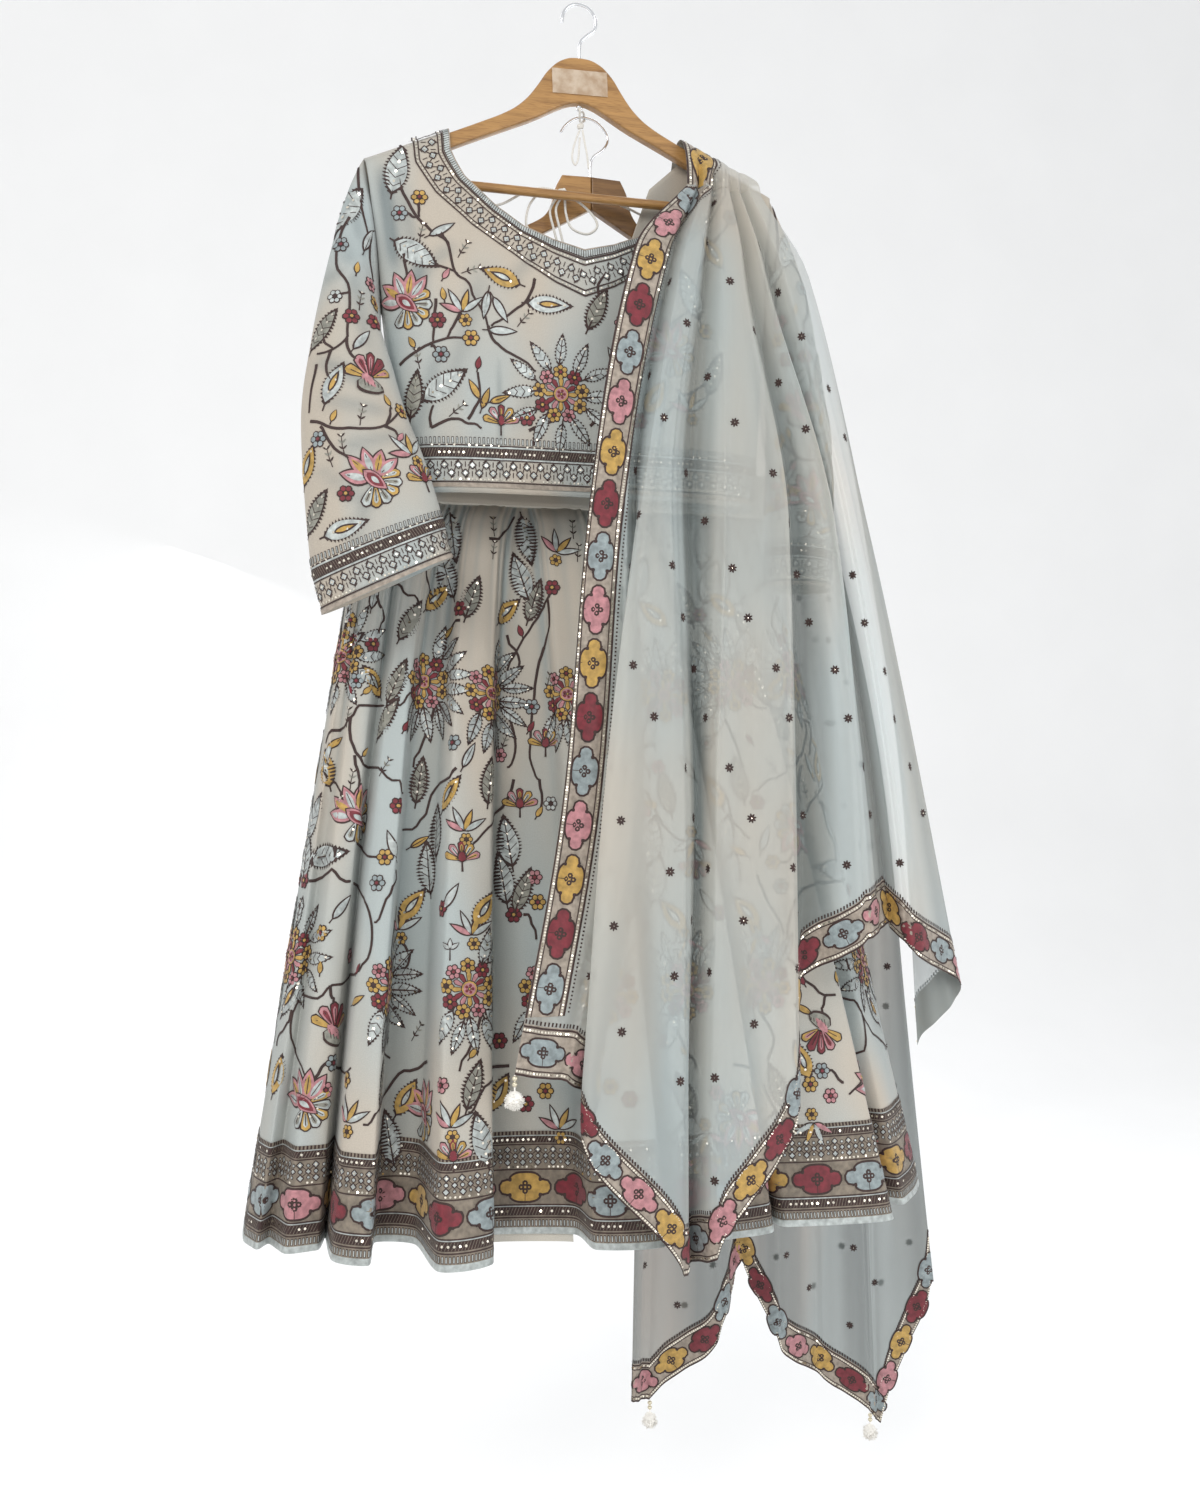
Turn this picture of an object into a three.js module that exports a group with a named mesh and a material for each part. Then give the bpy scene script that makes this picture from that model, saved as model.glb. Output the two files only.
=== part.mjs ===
import * as THREE from 'three';

// Three-piece festive dress on two wooden hangers: blouse, pleated skirt and scarf.
// Millimetres, +Z up, +Y away from the front. The origin is the inner top of the front hook.

const CLOTH = 1.6;          // wall of the blouse and the skirt
const SCARF = 1.2;          // wall of the scarf
const SEAM = 0.3;           // gap between parts that are sewn together
const TRIM = 0.9;           // thickness of a sewn-on band
const WAIST_Z = -571;       // lower edge of the waistband
const BAND_TOP_Z = -521;    // upper edge of the waistband
const SKIRT_HEM_Z = -1385;
const BORDER_HEIGHT = 109;  // embroidered border of the skirt
const BLOUSE_HEM_Z = -574;
const HEM_BAND = [-568, -511];
const CUFF_HEIGHT = 57;
const END_BORDER = 58;      // border across the scarf ends, measured downwards
const HANGER_THICK = 14;
const REAR_HANGER_X = 21;
const REAR_HANGER_Y = [24, 36];
const BAR_Z = -219;

const group = new THREE.Group();

const mats = {
  wood: new THREE.MeshStandardMaterial({ color: 0xa8834f, roughness: 0.6 }),
  woodDark: new THREE.MeshStandardMaterial({ color: 0x8a6a40, roughness: 0.6 }),
  chrome: new THREE.MeshStandardMaterial({ color: 0xc9cbd0, roughness: 0.2, metalness: 1 }),
  tape: new THREE.MeshStandardMaterial({ color: 0xbfa48a, roughness: 0.7 }),
  cloth: new THREE.MeshStandardMaterial({ color: 0xbcc5c5, roughness: 0.85 }),
  lining: new THREE.MeshStandardMaterial({ color: 0xcfc6ba, roughness: 0.8 }),
  border: new THREE.MeshStandardMaterial({ color: 0x8d7f74, roughness: 0.8 }),
  scarf: new THREE.MeshStandardMaterial({ color: 0xc6cfcf, roughness: 0.9 }),
  cord: new THREE.MeshStandardMaterial({ color: 0xd9d6cf, roughness: 0.9 }),
  pom: new THREE.MeshStandardMaterial({ color: 0xf2efe9, roughness: 0.95 }),
};

// ---------- helpers ----------

const lerp = (a, b, t) => a + (b - a) * t;
const clamp = (t, a, b) => Math.min(b, Math.max(a, t));
const ease = (t) => { const c = clamp(t, 0, 1); return c * c * (3 - 2 * c); };

// Straight-line reading of a table of [key, value] rows sorted by key.
function read(rows, key) {
  const last = rows.length - 1;
  if (key <= rows[0][0]) return rows[0][1];
  if (key >= rows[last][0]) return rows[last][1];
  let i = 0;
  while (key > rows[i + 1][0]) i += 1;
  return lerp(rows[i][1], rows[i + 1][1], (key - rows[i][0]) / (rows[i + 1][0] - rows[i][0]));
}

function addMesh(name, points, faces, material) {
  let volume = 0;
  for (const [a, b, c] of faces) {
    volume += points[a].dot(new THREE.Vector3().crossVectors(points[b], points[c])) / 6;
  }
  const index = [];
  for (const [a, b, c] of faces) {
    if (volume > 0) index.push(a, b, c);
    else index.push(a, c, b);
  }
  const flat = new Float32Array(points.length * 3);
  points.forEach((p, i) => p.toArray(flat, i * 3));
  const geometry = new THREE.BufferGeometry();
  geometry.setAttribute('position', new THREE.BufferAttribute(flat, 3));
  geometry.setIndex(index);
  geometry.computeVertexNormals();
  const mesh = new THREE.Mesh(geometry, material.clone());
  mesh.name = name;
  group.add(mesh);
}

// A sampled surface: fn(u, v) is a point, at(i, j) gives the two parameters of a grid corner.
function sample(fn, nu, nv, at, ringed = false) {
  const e = 1e-3;
  const grid = { nu, nv, ringed, p: [], n: [] };
  for (let i = 0; i < nu; i += 1) {
    for (let j = 0; j < nv; j += 1) {
      const [u, v] = at(i, j);
      const du = fn(u + e, v).sub(fn(u - e, v)).normalize();
      const dv = fn(u, v + e).sub(fn(u, v - e)).normalize();
      grid.p.push(fn(u, v));
      grid.n.push(du.cross(dv).normalize());
    }
  }
  return grid;
}

// A wall between two offsets of a sampled surface, over part of its columns and rows.
// keep moves a finished point back to its own side of a seam.
function wall(name, g, material, low, high, columns = [0, g.nu - 1], rows = [0, g.nv - 1], keep = null) {
  const count = g.ringed && columns[1] - columns[0] === g.nu ? g.nu : columns[1] - columns[0] + 1;
  const closed = count === g.nu && g.ringed;
  const height = rows[1] - rows[0] + 1;
  const points = [];
  for (const offset of [high, low]) {
    for (let i = 0; i < count; i += 1) {
      for (let j = 0; j < height; j += 1) {
        const k = ((columns[0] + i) % g.nu) * g.nv + rows[0] + j;
        const point = g.p[k].clone().addScaledVector(g.n[k], offset);
        if (keep) keep(point);
        points.push(point);
      }
    }
  }
  const side = count * height;
  const id = (layer, i, j) => layer * side + (i % count) * height + j;
  const faces = [];
  const spans = closed ? count : count - 1;
  for (let i = 0; i < spans; i += 1) {
    for (let j = 0; j < height - 1; j += 1) {
      faces.push([id(0, i, j), id(0, i + 1, j), id(0, i + 1, j + 1)]);
      faces.push([id(0, i, j), id(0, i + 1, j + 1), id(0, i, j + 1)]);
      faces.push([id(1, i, j), id(1, i + 1, j + 1), id(1, i + 1, j)]);
      faces.push([id(1, i, j), id(1, i, j + 1), id(1, i + 1, j + 1)]);
    }
    for (const [j, flip] of [[0, false], [height - 1, true]]) {
      const [a, b, c, d] = [id(0, i, j), id(1, i, j), id(1, i + 1, j), id(0, i + 1, j)];
      faces.push(flip ? [a, c, b] : [a, b, c]);
      faces.push(flip ? [a, d, c] : [a, c, d]);
    }
  }
  if (!closed) {
    for (let j = 0; j < height - 1; j += 1) {
      for (const [i, flip] of [[0, true], [count - 1, false]]) {
        const [a, b, c, d] = [id(0, i, j), id(1, i, j), id(1, i, j + 1), id(0, i, j + 1)];
        faces.push(flip ? [a, c, b] : [a, b, c]);
        faces.push(flip ? [a, d, c] : [a, c, d]);
      }
    }
  }
  addMesh(name, points, faces, material);
}

// A round cord or wire along a smooth path through the given points.
function rope(name, path, radius, material, { sides = 6, steps = 3, ring = false } = {}) {
  const curve = new THREE.CatmullRomCurve3(path.map((p) => new THREE.Vector3(...p)), ring, 'centripetal');
  const spans = (ring ? path.length : path.length - 1) * steps;
  const count = ring ? spans : spans + 1;
  const centres = [];
  const tangents = [];
  for (let i = 0; i < count; i += 1) {
    centres.push(curve.getPoint(i / spans));
    tangents.push(curve.getTangent(i / spans).normalize());
  }
  const points = [];
  const faces = [];
  const flat = Math.abs(tangents[0].y) > 0.9;
  let normal = flat ? new THREE.Vector3(1, 0, 0) : new THREE.Vector3(0, 1, 0);
  for (let i = 0; i < count; i += 1) {
    normal = normal.clone().addScaledVector(tangents[i], -normal.dot(tangents[i])).normalize();
    const other = new THREE.Vector3().crossVectors(tangents[i], normal);
    for (let k = 0; k < sides; k += 1) {
      const a = (k / sides) * 2 * Math.PI;
      points.push(centres[i].clone()
        .addScaledVector(normal, radius * Math.cos(a))
        .addScaledVector(other, radius * Math.sin(a)));
    }
  }
  let twist = 0;
  if (ring) {
    let best = Infinity;
    const end = points[(count - 1) * sides];
    for (let k = 0; k < sides; k += 1) {
      const gap = end.distanceTo(points[k]);
      if (gap < best) { best = gap; twist = k; }
    }
  }
  const id = (i, k) => {
    if (i < count) return i * sides + (k % sides);
    return (k + twist) % sides;
  };
  for (let i = 0; i < (ring ? count : count - 1); i += 1) {
    for (let k = 0; k < sides; k += 1) {
      faces.push([id(i, k), id(i, k + 1), id(i + 1, k + 1)]);
      faces.push([id(i, k), id(i + 1, k + 1), id(i + 1, k)]);
    }
  }
  if (!ring) {
    for (const [i, flip] of [[0, true], [count - 1, false]]) {
      const tip = points.length;
      points.push(centres[i].clone());
      for (let k = 0; k < sides; k += 1) {
        faces.push(flip ? [tip, id(i, k + 1), id(i, k)] : [tip, id(i, k), id(i, k + 1)]);
      }
    }
  }
  addMesh(name, points, faces, material);
}

// A turned body about a vertical axis: profile rows are [radius, z], both ends on the axis.
function turned(name, [cx, cy], profile, material, sides = 10) {
  const points = [];
  const faces = [];
  const last = profile.length - 1;
  const id = (i, k) => {
    if (i === 0) return 0;
    if (i === last) return 1;
    return 2 + (i - 1) * sides + (k % sides);
  };
  points.push(new THREE.Vector3(cx, cy, profile[0][1]), new THREE.Vector3(cx, cy, profile[last][1]));
  for (let i = 1; i < last; i += 1) {
    for (let k = 0; k < sides; k += 1) {
      const a = (k / sides) * 2 * Math.PI;
      const [r, z] = profile[i];
      points.push(new THREE.Vector3(cx + r * Math.cos(a), cy + r * Math.sin(a), z));
    }
  }
  for (let i = 0; i < last; i += 1) {
    for (let k = 0; k < sides; k += 1) {
      if (i > 0) faces.push([id(i, k), id(i, k + 1), id(i + 1, k)]);
      if (i < last - 1) faces.push([id(i, k + 1), id(i + 1, k + 1), id(i + 1, k)]);
    }
  }
  addMesh(name, points, faces, material);
}

// A flat board cut to an outline in the XZ plane, with softened edges.
function board(name, outline, [y0, y1], material, soft = 2) {
  const shape = new THREE.Shape(outline.map(([x, z]) => new THREE.Vector2(x, z)));
  const geometry = new THREE.ExtrudeGeometry(shape, {
    depth: y1 - y0 - 2 * soft,
    bevelEnabled: true,
    bevelThickness: soft,
    bevelSize: soft * 0.8,
    bevelOffset: -soft * 0.8,
    bevelSegments: 1,
  });
  geometry.rotateX(Math.PI / 2);
  geometry.translate(0, y1 - soft, 0);
  const mesh = new THREE.Mesh(geometry, material.clone());
  mesh.name = name;
  group.add(mesh);
}

// ---------- front hanger ----------

// Upper edge of one half: x, z.
const ARM_TOP = [
  [0, -62], [14, -63.5], [27, -70], [39, -82], [49, -97], [61, -113], [75, -126],
  [93, -137], [118, -149], [145, -161.5], [190, -181.5], [219, -194.5],
];
// End and lower edge of one half: x, z.
const ARM_END = [[226, -203], [226, -216], [219, -229], [200, -229], [200, -209], [143, -178], [60, -140]];

const frontOutline = [
  ...ARM_TOP.map(([x, z]) => [-x, z]).reverse(),
  ...ARM_TOP.slice(1),
  ...ARM_END,
  [0, -113],
  ...ARM_END.map(([x, z]) => [-x, z]).reverse(),
];
board('front_hanger_body', frontOutline, [-HANGER_THICK / 2, HANGER_THICK / 2], mats.wood, 2.5);
rope('front_hanger_bar', [[-199.6, 0, BAR_Z], [0, 0, BAR_Z], [199.6, 0, BAR_Z]], 5.2, mats.wood,
  { sides: 10, steps: 1 });
rope('front_hanger_hook', [
  [-20.5, 0, -21], [-18.5, 0, -10], [-11, 0, -1], [0, 0, 2], [12, 0, -2], [19, 0, -12],
  [18, 0, -25], [8, 0, -34], [1, 0, -43], [0, 0, -61.6],
], 2, mats.chrome, { sides: 6, steps: 2 });
board('hanger_tape', [[-34, -78], [31, -76], [32, -104], [-33, -106]], [-8.6, -7.3], mats.tape, 0.3);

// ---------- rear hanger ----------

// Outline of one half, from the middle of the head round to the middle of the lower edge: x, z.
const REAR_HALF = [
  [0.15, -184], [35, -185], [43, -201], [48, -221], [58, -236], [80, -249], [120, -267], [160, -286],
  [184, -300], [190, -310], [182, -319], [150, -304], [90, -273], [40, -245], [0.15, -222],
];
board('rear_hanger_right', REAR_HALF.map(([x, z]) => [REAR_HANGER_X + x, z]), REAR_HANGER_Y, mats.woodDark);
board('rear_hanger_left', REAR_HALF.map(([x, z]) => [REAR_HANGER_X - x, z]).reverse(), REAR_HANGER_Y, mats.wood);
rope('rear_hanger_hook', [
  [-15, 30, -134], [-9, 30, -125], [2, 30, -116], [14, 30, -113.5], [28, 30, -117], [39, 30, -127],
  [42, 30, -138], [36, 30, -149], [25, 30, -158], [21, 30, -168], [21, 30, -183.5],
], 1.7, mats.chrome, { sides: 6, steps: 2 });

// ---------- blouse ----------

const HALF_LEFT = [[-574, 211], [-420, 221], [-370, 226], [-300, 232], [-240, 240], [-200, 246]];
const HALF_RIGHT = [[-574, 211], [-420, 221], [-370, 224], [-300, 224], [-240, 227], [-200, 230]];
const halfWidth = (side, z) => read(side < 0 ? HALF_LEFT : HALF_RIGHT, z);
const shoulderZ = (x) => -157 - 0.445 * (Math.abs(x) - 145);

// Distance of the cloth from the middle plane, by the distance below the shoulder line.
const FRONT_DEPTH = [[0, 0.3], [1.5, 7.5], [6, 11], [14, 13], [40, 17], [80, 27], [130, 40], [200, 52],
  [300, 56], [420, 53]];
const BACK_DEPTH = [[0, 0.3], [1.5, 7.5], [6, 11], [14, 13], [40, 14], [80, 16], [200, 18], [420, 18]];
const SIDE_DEPTH = [[-380, 0.2], [-335, 9], [-230, 11], [-200, 9]];

function bodyPoint(side, u, z) {
  const x = u * halfWidth(u, z) - 7 * (1 - u * u);
  const below = Math.max(0, shoulderZ(x) - z);
  const deep = read(side < 0 ? FRONT_DEPTH : BACK_DEPTH, below);
  const edge = Math.min(read(SIDE_DEPTH, z), deep);
  const round = edge + (deep - edge) * Math.sqrt(Math.max(0, 1 - Math.min(1, Math.abs(u)) ** 4));
  return new THREE.Vector3(x, side * lerp(deep, round, ease((below - 8) / 52)), z);
}

// Front neckline and the lower edge of its band: share of the half width, z.
const NECK = [[0, -298], [0.15, -289], [0.29, -275], [0.41, -253], [0.54, -218], [0.597, -186]];
const NECK_LOW = [[0, -352], [0.15, -338], [0.29, -319], [0.41, -300], [0.54, -277], [0.6, -262],
  [0.69, -240], [0.765, -206]];
const COLUMNS = [1, 0.93, 0.85, 0.77, 0.765, 0.69, 0.6, 0.597, 0.54, 0.41, 0.29, 0.15];
const BODY_U = [...COLUMNS.map((u) => -u), 0, ...[...COLUMNS].reverse()];

const shoulderAt = (u) => shoulderZ(u * halfWidth(u, -200) - 7 * (1 - u * u));
const frontTop = (u) => (Math.abs(u) >= 0.6 ? shoulderAt(u) : read(NECK, Math.abs(u)));
function bandLow(u) {
  const a = Math.abs(u);
  if (a > 0.766) return frontTop(u) - 28;
  return Math.min(read(NECK_LOW, a), frontTop(u) - 28);
}

const FIXED_ROWS = [BLOUSE_HEM_Z, HEM_BAND[0], HEM_BAND[1], -445, -380];
const EDGE_ROWS = [14, 6, 1.5, 0];
const ROWS = FIXED_ROWS.length + 2 + 1 + EDGE_ROWS.length;

function bodyRow(top, low, u, j) {
  const fixed = FIXED_ROWS.length;
  if (j < fixed) return FIXED_ROWS[j];
  if (j < fixed + 2) return lerp(FIXED_ROWS[fixed - 1], low(u), (j - fixed + 1) / 2);
  if (j === fixed + 2) return lerp(low(u), top(u) - EDGE_ROWS[0], 0.5);
  return top(u) - EDGE_ROWS[j - fixed - 3];
}

const LOW_ROW = FIXED_ROWS.length + 1;
const frontGrid = sample((u, z) => bodyPoint(-1, u, z), BODY_U.length, ROWS,
  (i, j) => [BODY_U[i], bodyRow(frontTop, bandLow, BODY_U[i], j)]);
const keepFront = (p) => { p.y = Math.min(p.y, -SEAM / 2); };
const keepBack = (p) => { p.y = Math.max(p.y, SEAM / 2); };
const ALL = [0, BODY_U.length - 1];
wall('blouse_front', frontGrid, mats.cloth, -CLOTH, 0, ALL, [0, ROWS - 1], keepFront);
wall('neck_band_front', frontGrid, mats.border, SEAM, SEAM + TRIM, [3, ALL[1] - 3], [LOW_ROW, ROWS - 1], keepFront);
wall('hem_band_front', frontGrid, mats.border, SEAM, SEAM + TRIM, ALL, [1, 2], keepFront);

// Back neckline, left and right of the middle: share of the half width, z.
const BACK_NECK_LEFT = [[0, -305], [0.15, -300], [0.29, -288], [0.41, -262], [0.54, -196], [0.597, -164]];
const BACK_NECK_RIGHT = [[0, -305], [0.15, -300], [0.29, -282], [0.41, -196], [0.54, -168], [0.597, -160]];
const backTop = (u) => {
  if (Math.abs(u) >= 0.6) return shoulderAt(u);
  return read(u < 0 ? BACK_NECK_LEFT : BACK_NECK_RIGHT, Math.abs(u));
};
const BACK_COLUMNS = [1, 0.93, 0.8, 0.6, 0.597, 0.54, 0.41, 0.29, 0.15];
const BACK_U = [...BACK_COLUMNS.map((u) => -u), 0, ...[...BACK_COLUMNS].reverse()];
const backGrid = sample((u, z) => bodyPoint(1, -u, z), BACK_U.length, ROWS,
  (i, j) => [BACK_U[i], bodyRow((u) => backTop(-u), (u) => backTop(-u) - 30, BACK_U[i], j)]);
const ALL_BACK = [0, BACK_U.length - 1];
wall('blouse_back', backGrid, mats.cloth, -CLOTH, 0, ALL_BACK, [0, ROWS - 1], keepBack);
wall('hem_band_back', backGrid, mats.border, SEAM, SEAM + TRIM, ALL_BACK, [1, 2], keepBack);

// Sleeves: share of the length; outer point x, y, z; inner point x, y, z; half thickness.
const SLEEVE_LEFT = [
  [0.00, -247, 0, -203, -227, 0, -371, 11],
  [0.12, -262, -2, -238, -227, -10, -398, 17],
  [0.30, -282, -8, -310, -217, -30, -440, 25],
  [0.50, -303, -20, -410, -205, -46, -490, 31],
  [0.70, -315, -34, -508, -190, -62, -535, 34],
  [0.91, -307, -50, -650, -172, -76, -598, 35],
  [1.00, -294, -57, -712, -160, -82, -650, 35],
];
const SLEEVE_RIGHT = [
  [0.00, -231, 0, -196, -225, 0, -371, 11],
  [0.12, -250, -2, -236, -228, -2, -398, 18],
  [0.30, -276, -6, -310, -228, -8, -440, 29],
  [0.50, -290, -14, -410, -226, -18, -490, 38],
  [0.70, -300, -20, -505, -224, -24, -540, 43],
  [0.91, -299, -24, -612, -222, -28, -607, 44],
  [1.00, -296, -24, -668, -222, -28, -664, 44],
];
function sleevePoint(table, mirror, s, turn) {
  const v = table[0].map((_, k) => read(table.map((row) => [row[0], row[k]]), s));
  const outer = new THREE.Vector3(v[1], v[2], v[3]);
  const inner = new THREE.Vector3(v[4], v[5], v[6]);
  const middle = outer.clone().add(inner).multiplyScalar(0.5);
  const long = outer.clone().sub(middle);
  const front = new THREE.Vector3(0, -1, 0);
  front.addScaledVector(long, -front.dot(long) / long.lengthSq()).normalize();
  const p = middle.addScaledVector(long, Math.cos(turn)).addScaledVector(front, v[7] * Math.sin(turn));
  const seam = -(halfWidth(-mirror, p.z) + 0.5);
  if (s < 0.12) p.x = lerp(Math.min(seam, p.x), p.x, ease(s / 0.12));
  if (s <= 0) p.x = seam;
  p.x *= mirror;
  return p;
}
const SLEEVE_S = [0, 0.12, 0.3, 0.5, 0.7, 0.91, 1];
const SLEEVE_SIDES = 16;
for (const [label, table, mirror] of [['left', SLEEVE_LEFT, 1], ['right', SLEEVE_RIGHT, -1]]) {
  const ringAt = (a, s) => sleevePoint(table, mirror, clamp(s, 0, 1), -a * mirror);
  const grid = sample(ringAt, SLEEVE_SIDES, SLEEVE_S.length,
    (i, j) => [(i / SLEEVE_SIDES) * 2 * Math.PI, SLEEVE_S[SLEEVE_S.length - 1 - j]], true);
  for (const n of grid.n) n.multiplyScalar(mirror);
  wall(`sleeve_${label}`, grid, mats.cloth, -CLOTH, 0, [0, SLEEVE_SIDES]);
  wall(`cuff_band_${label}`, grid, mats.border, SEAM, SEAM + TRIM, [0, SLEEVE_SIDES], [0, 1]);
}

// ---------- skirt ----------

// One row for each fold point round the skirt, front from left to right and then the back:
// x and y at the waist, x and y at the hem.
const SKIRT_FOLDS = [
  [-241, 56, -374, 0], [-236, 44, -362, -32], [-226, 40, -348, -18], [-222, 35, -333, -52],
  [-205, 34, -300, -52], [-192, 38, -288, -14], [-176, 33, -286, -86], [-158, 33, -252, -112],
  [-142, 38, -238, -44], [-124, 37, -196, -62], [-110, 33, -184, -148], [-82, 33, -128, -140],
  [-66, 38, -112, -54], [-50, 38, -24, -76], [-38, 33, -12, -128], [6, 32, 58, -138],
  [20, 38, 80, -70], [32, 33, 92, -130], [78, 32, 186, -126], [92, 38, 200, -66],
  [104, 33, 210, -112], [164, 33, 332, -122], [178, 38, 344, -56], [192, 35, 372, -74],
  [226, 40, 408, -36], [249, 56, 431, 6], [246, 74, 424, 58], [226, 84, 392, 60],
  [200, 88, 352, 112], [170, 84, 300, 80], [135, 88, 246, 115], [100, 84, 184, 82],
  [65, 88, 124, 116], [30, 84, 64, 84], [0, 88, 8, 116], [-35, 84, -52, 84],
  [-70, 88, -112, 116], [-105, 84, -172, 82], [-140, 88, -230, 114], [-175, 84, -284, 78],
  [-205, 88, -324, 104], [-226, 82, -352, 52], [-240, 72, -372, 50],
];

// Smooth closed curve through the fold points at one height.
function skirtPoint(c, z) {
  const t = clamp((WAIST_Z - z) / (WAIST_Z - SKIRT_HEM_Z), 0, 1.02);
  const n = SKIRT_FOLDS.length;
  const spot = (k) => {
    const [xw, yw, xh, yh] = SKIRT_FOLDS[((k % n) + n) % n];
    const wide = Math.abs(xw) / 245;
    return [lerp(xw, xh, t ** lerp(1, xw < 0 ? 0.48 : 0.62, wide * wide)), lerp(yw, yh, t)];
  };
  const i = Math.floor(c);
  const f = c - i;
  const [p0, p1, p2, p3] = [spot(i - 1), spot(i), spot(i + 1), spot(i + 2)];
  const bend = (k) => {
    const m1 = (p2[k] - p0[k]) * 0.32;
    const m2 = (p3[k] - p1[k]) * 0.32;
    const [f2, f3] = [f * f, f * f * f];
    return (2 * f3 - 3 * f2 + 1) * p1[k] + (f3 - 2 * f2 + f) * m1 + (3 * f2 - 2 * f3) * p2[k] + (f3 - f2) * m2;
  };
  return new THREE.Vector3(bend(0), bend(1), z);
}

const SKIRT_Z = [SKIRT_HEM_Z, SKIRT_HEM_Z + BORDER_HEIGHT, -1100, -900, -710, WAIST_Z - 2 * SEAM];
const FRONT_END = 25;
const skirtGrid = (c0, c1, steps) => {
  const count = Math.round((c1 - c0) * steps) + 1;
  const at = (i) => {
    if (i === 0) return c0 + 0.006;
    if (i === count - 1) return c1 - 0.006;
    return c0 + i / steps;
  };
  return sample(skirtPoint, count, SKIRT_Z.length, (i, j) => [at(i), SKIRT_Z[j]]);
};
const frontSkirt = skirtGrid(0, FRONT_END, 2);
const backSkirt = skirtGrid(FRONT_END, SKIRT_FOLDS.length, 2);
wall('skirt_front', frontSkirt, mats.cloth, -CLOTH, 0);
wall('skirt_border_front', frontSkirt, mats.border, SEAM, SEAM + TRIM, [0, frontSkirt.nu - 1], [0, 1]);
wall('skirt_back', backSkirt, mats.cloth, -CLOTH, 0);
wall('skirt_border_back', backSkirt, mats.border, SEAM, SEAM + TRIM, [0, backSkirt.nu - 1], [0, 1]);

const LINING_Z = [SKIRT_HEM_Z - 9, SKIRT_HEM_Z, SKIRT_HEM_Z + BORDER_HEIGHT];
const liningGrid = sample(skirtPoint, 3, 3, (i, j) => [12 + i * 0.5, LINING_Z[j]]);
wall('skirt_lining_front', liningGrid, mats.lining, -CLOTH - SEAM - 0.8, -CLOTH - SEAM);

function waistPoint(a, z) {
  const [half, deep, cx, cy] = [245, 28, 4, 60];
  const c = Math.cos(a);
  const s = Math.sin(a);
  const flat = half - deep;
  return new THREE.Vector3(cx + flat * c * (2 - Math.abs(c)) + deep * c, cy - deep * Math.sign(s)
    * Math.abs(s) ** 0.55, z);
}
const waistGrid = sample(waistPoint, 28, 2, (i, j) => [-(i + 0.5) / 28 * 2 * Math.PI,
  j === 0 ? WAIST_Z : BAND_TOP_Z], true);
wall('skirt_waistband', waistGrid, mats.lining, -1, 1, [0, 28]);

for (const [label, x] of [['left', -142], ['right', 184]]) {
  rope(`skirt_loop_${label}`, [
    [x, 31.8, -520.4], [x, 27, -420], [x, 22.2, -316], [x, 21.8, -290], [x, 24, -284], [x, 30, -282],
    [x, 36, -284], [x, 38.6, -292], [x, 42, -316], [x, 66, -420], [x, 88, -520.4],
  ], 1.2, mats.cord, { sides: 6, steps: 1 });
}

// ---------- scarf ----------

// Fold lines of the front fall: x and y at each level, then the height of the hem.
const LEVELS = [-205, -300, -600, -900, -1200];
const FRONT_FALL = [
  [120, -34, 43, -80, -20, -118, -51, -134, -115, -176, -1183],
  [130, -34, 80, -82, 20, -118, 14, -130, -58, -172, -1194],
  [136, -27, 92, -66, 40, -94, 46, -104, -12, -136, -1226],
  [141, -38, 98, -90, 34, -130, -14, -164, -41, -182, -1258],
  [148, -38, 118, -90, 71, -130, 72, -160, 66, -182, -1402],
  [154, -28, 131, -66, 101, -98, 104, -112, 86, -134, -1408],
  [160, -38, 141, -88, 132, -128, 114, -154, 104, -180, -1388],
  [168, -38, 165, -88, 202, -126, 198, -152, 194, -176, -1254],
  [174, -28, 178, -66, 222, -98, 228, -106, 219, -124, -1112],
  [180, -38, 189, -86, 262, -122, 282, -142, 300, -152, -1064],
  [187, -28, 204, -62, 270, -92, 318, -100, 352, -108, -1052],
  [193, -38, 216, -80, 284, -114, 334, -128, 372, -132, -1084],
  [208, -32, 252, -58, 326, -76, 390, -86, 452, -88, -1130],
  [214, -22, 266, -42, 334, -50, 378, -58, 396, -62, -1204],
];
// Fold lines of the rear fall, at the same five levels.
const REAR_FALL = [
  [120, 34, 120, 58, 116, 112, 114, 128, 113, 142, -1692],
  [134, 34, 138, 68, 144, 124, 144, 144, 143, 160, -1702],
  [147, 38, 164, 58, 190, 112, 206, 128, 214, 140, -1624],
  [158, 34, 182, 68, 214, 126, 236, 148, 250, 164, -1520],
  [170, 38, 202, 58, 250, 112, 288, 130, 300, 144, -1650],
  [181, 34, 222, 68, 296, 126, 344, 146, 361, 164, -1706],
  [191, 38, 240, 58, 328, 112, 392, 132, 412, 146, -1748],
  [200, 34, 254, 68, 352, 124, 418, 144, 436, 158, -1772],
  [208, 34, 266, 58, 374, 112, 446, 128, 486, 142, -1556],
];

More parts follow.
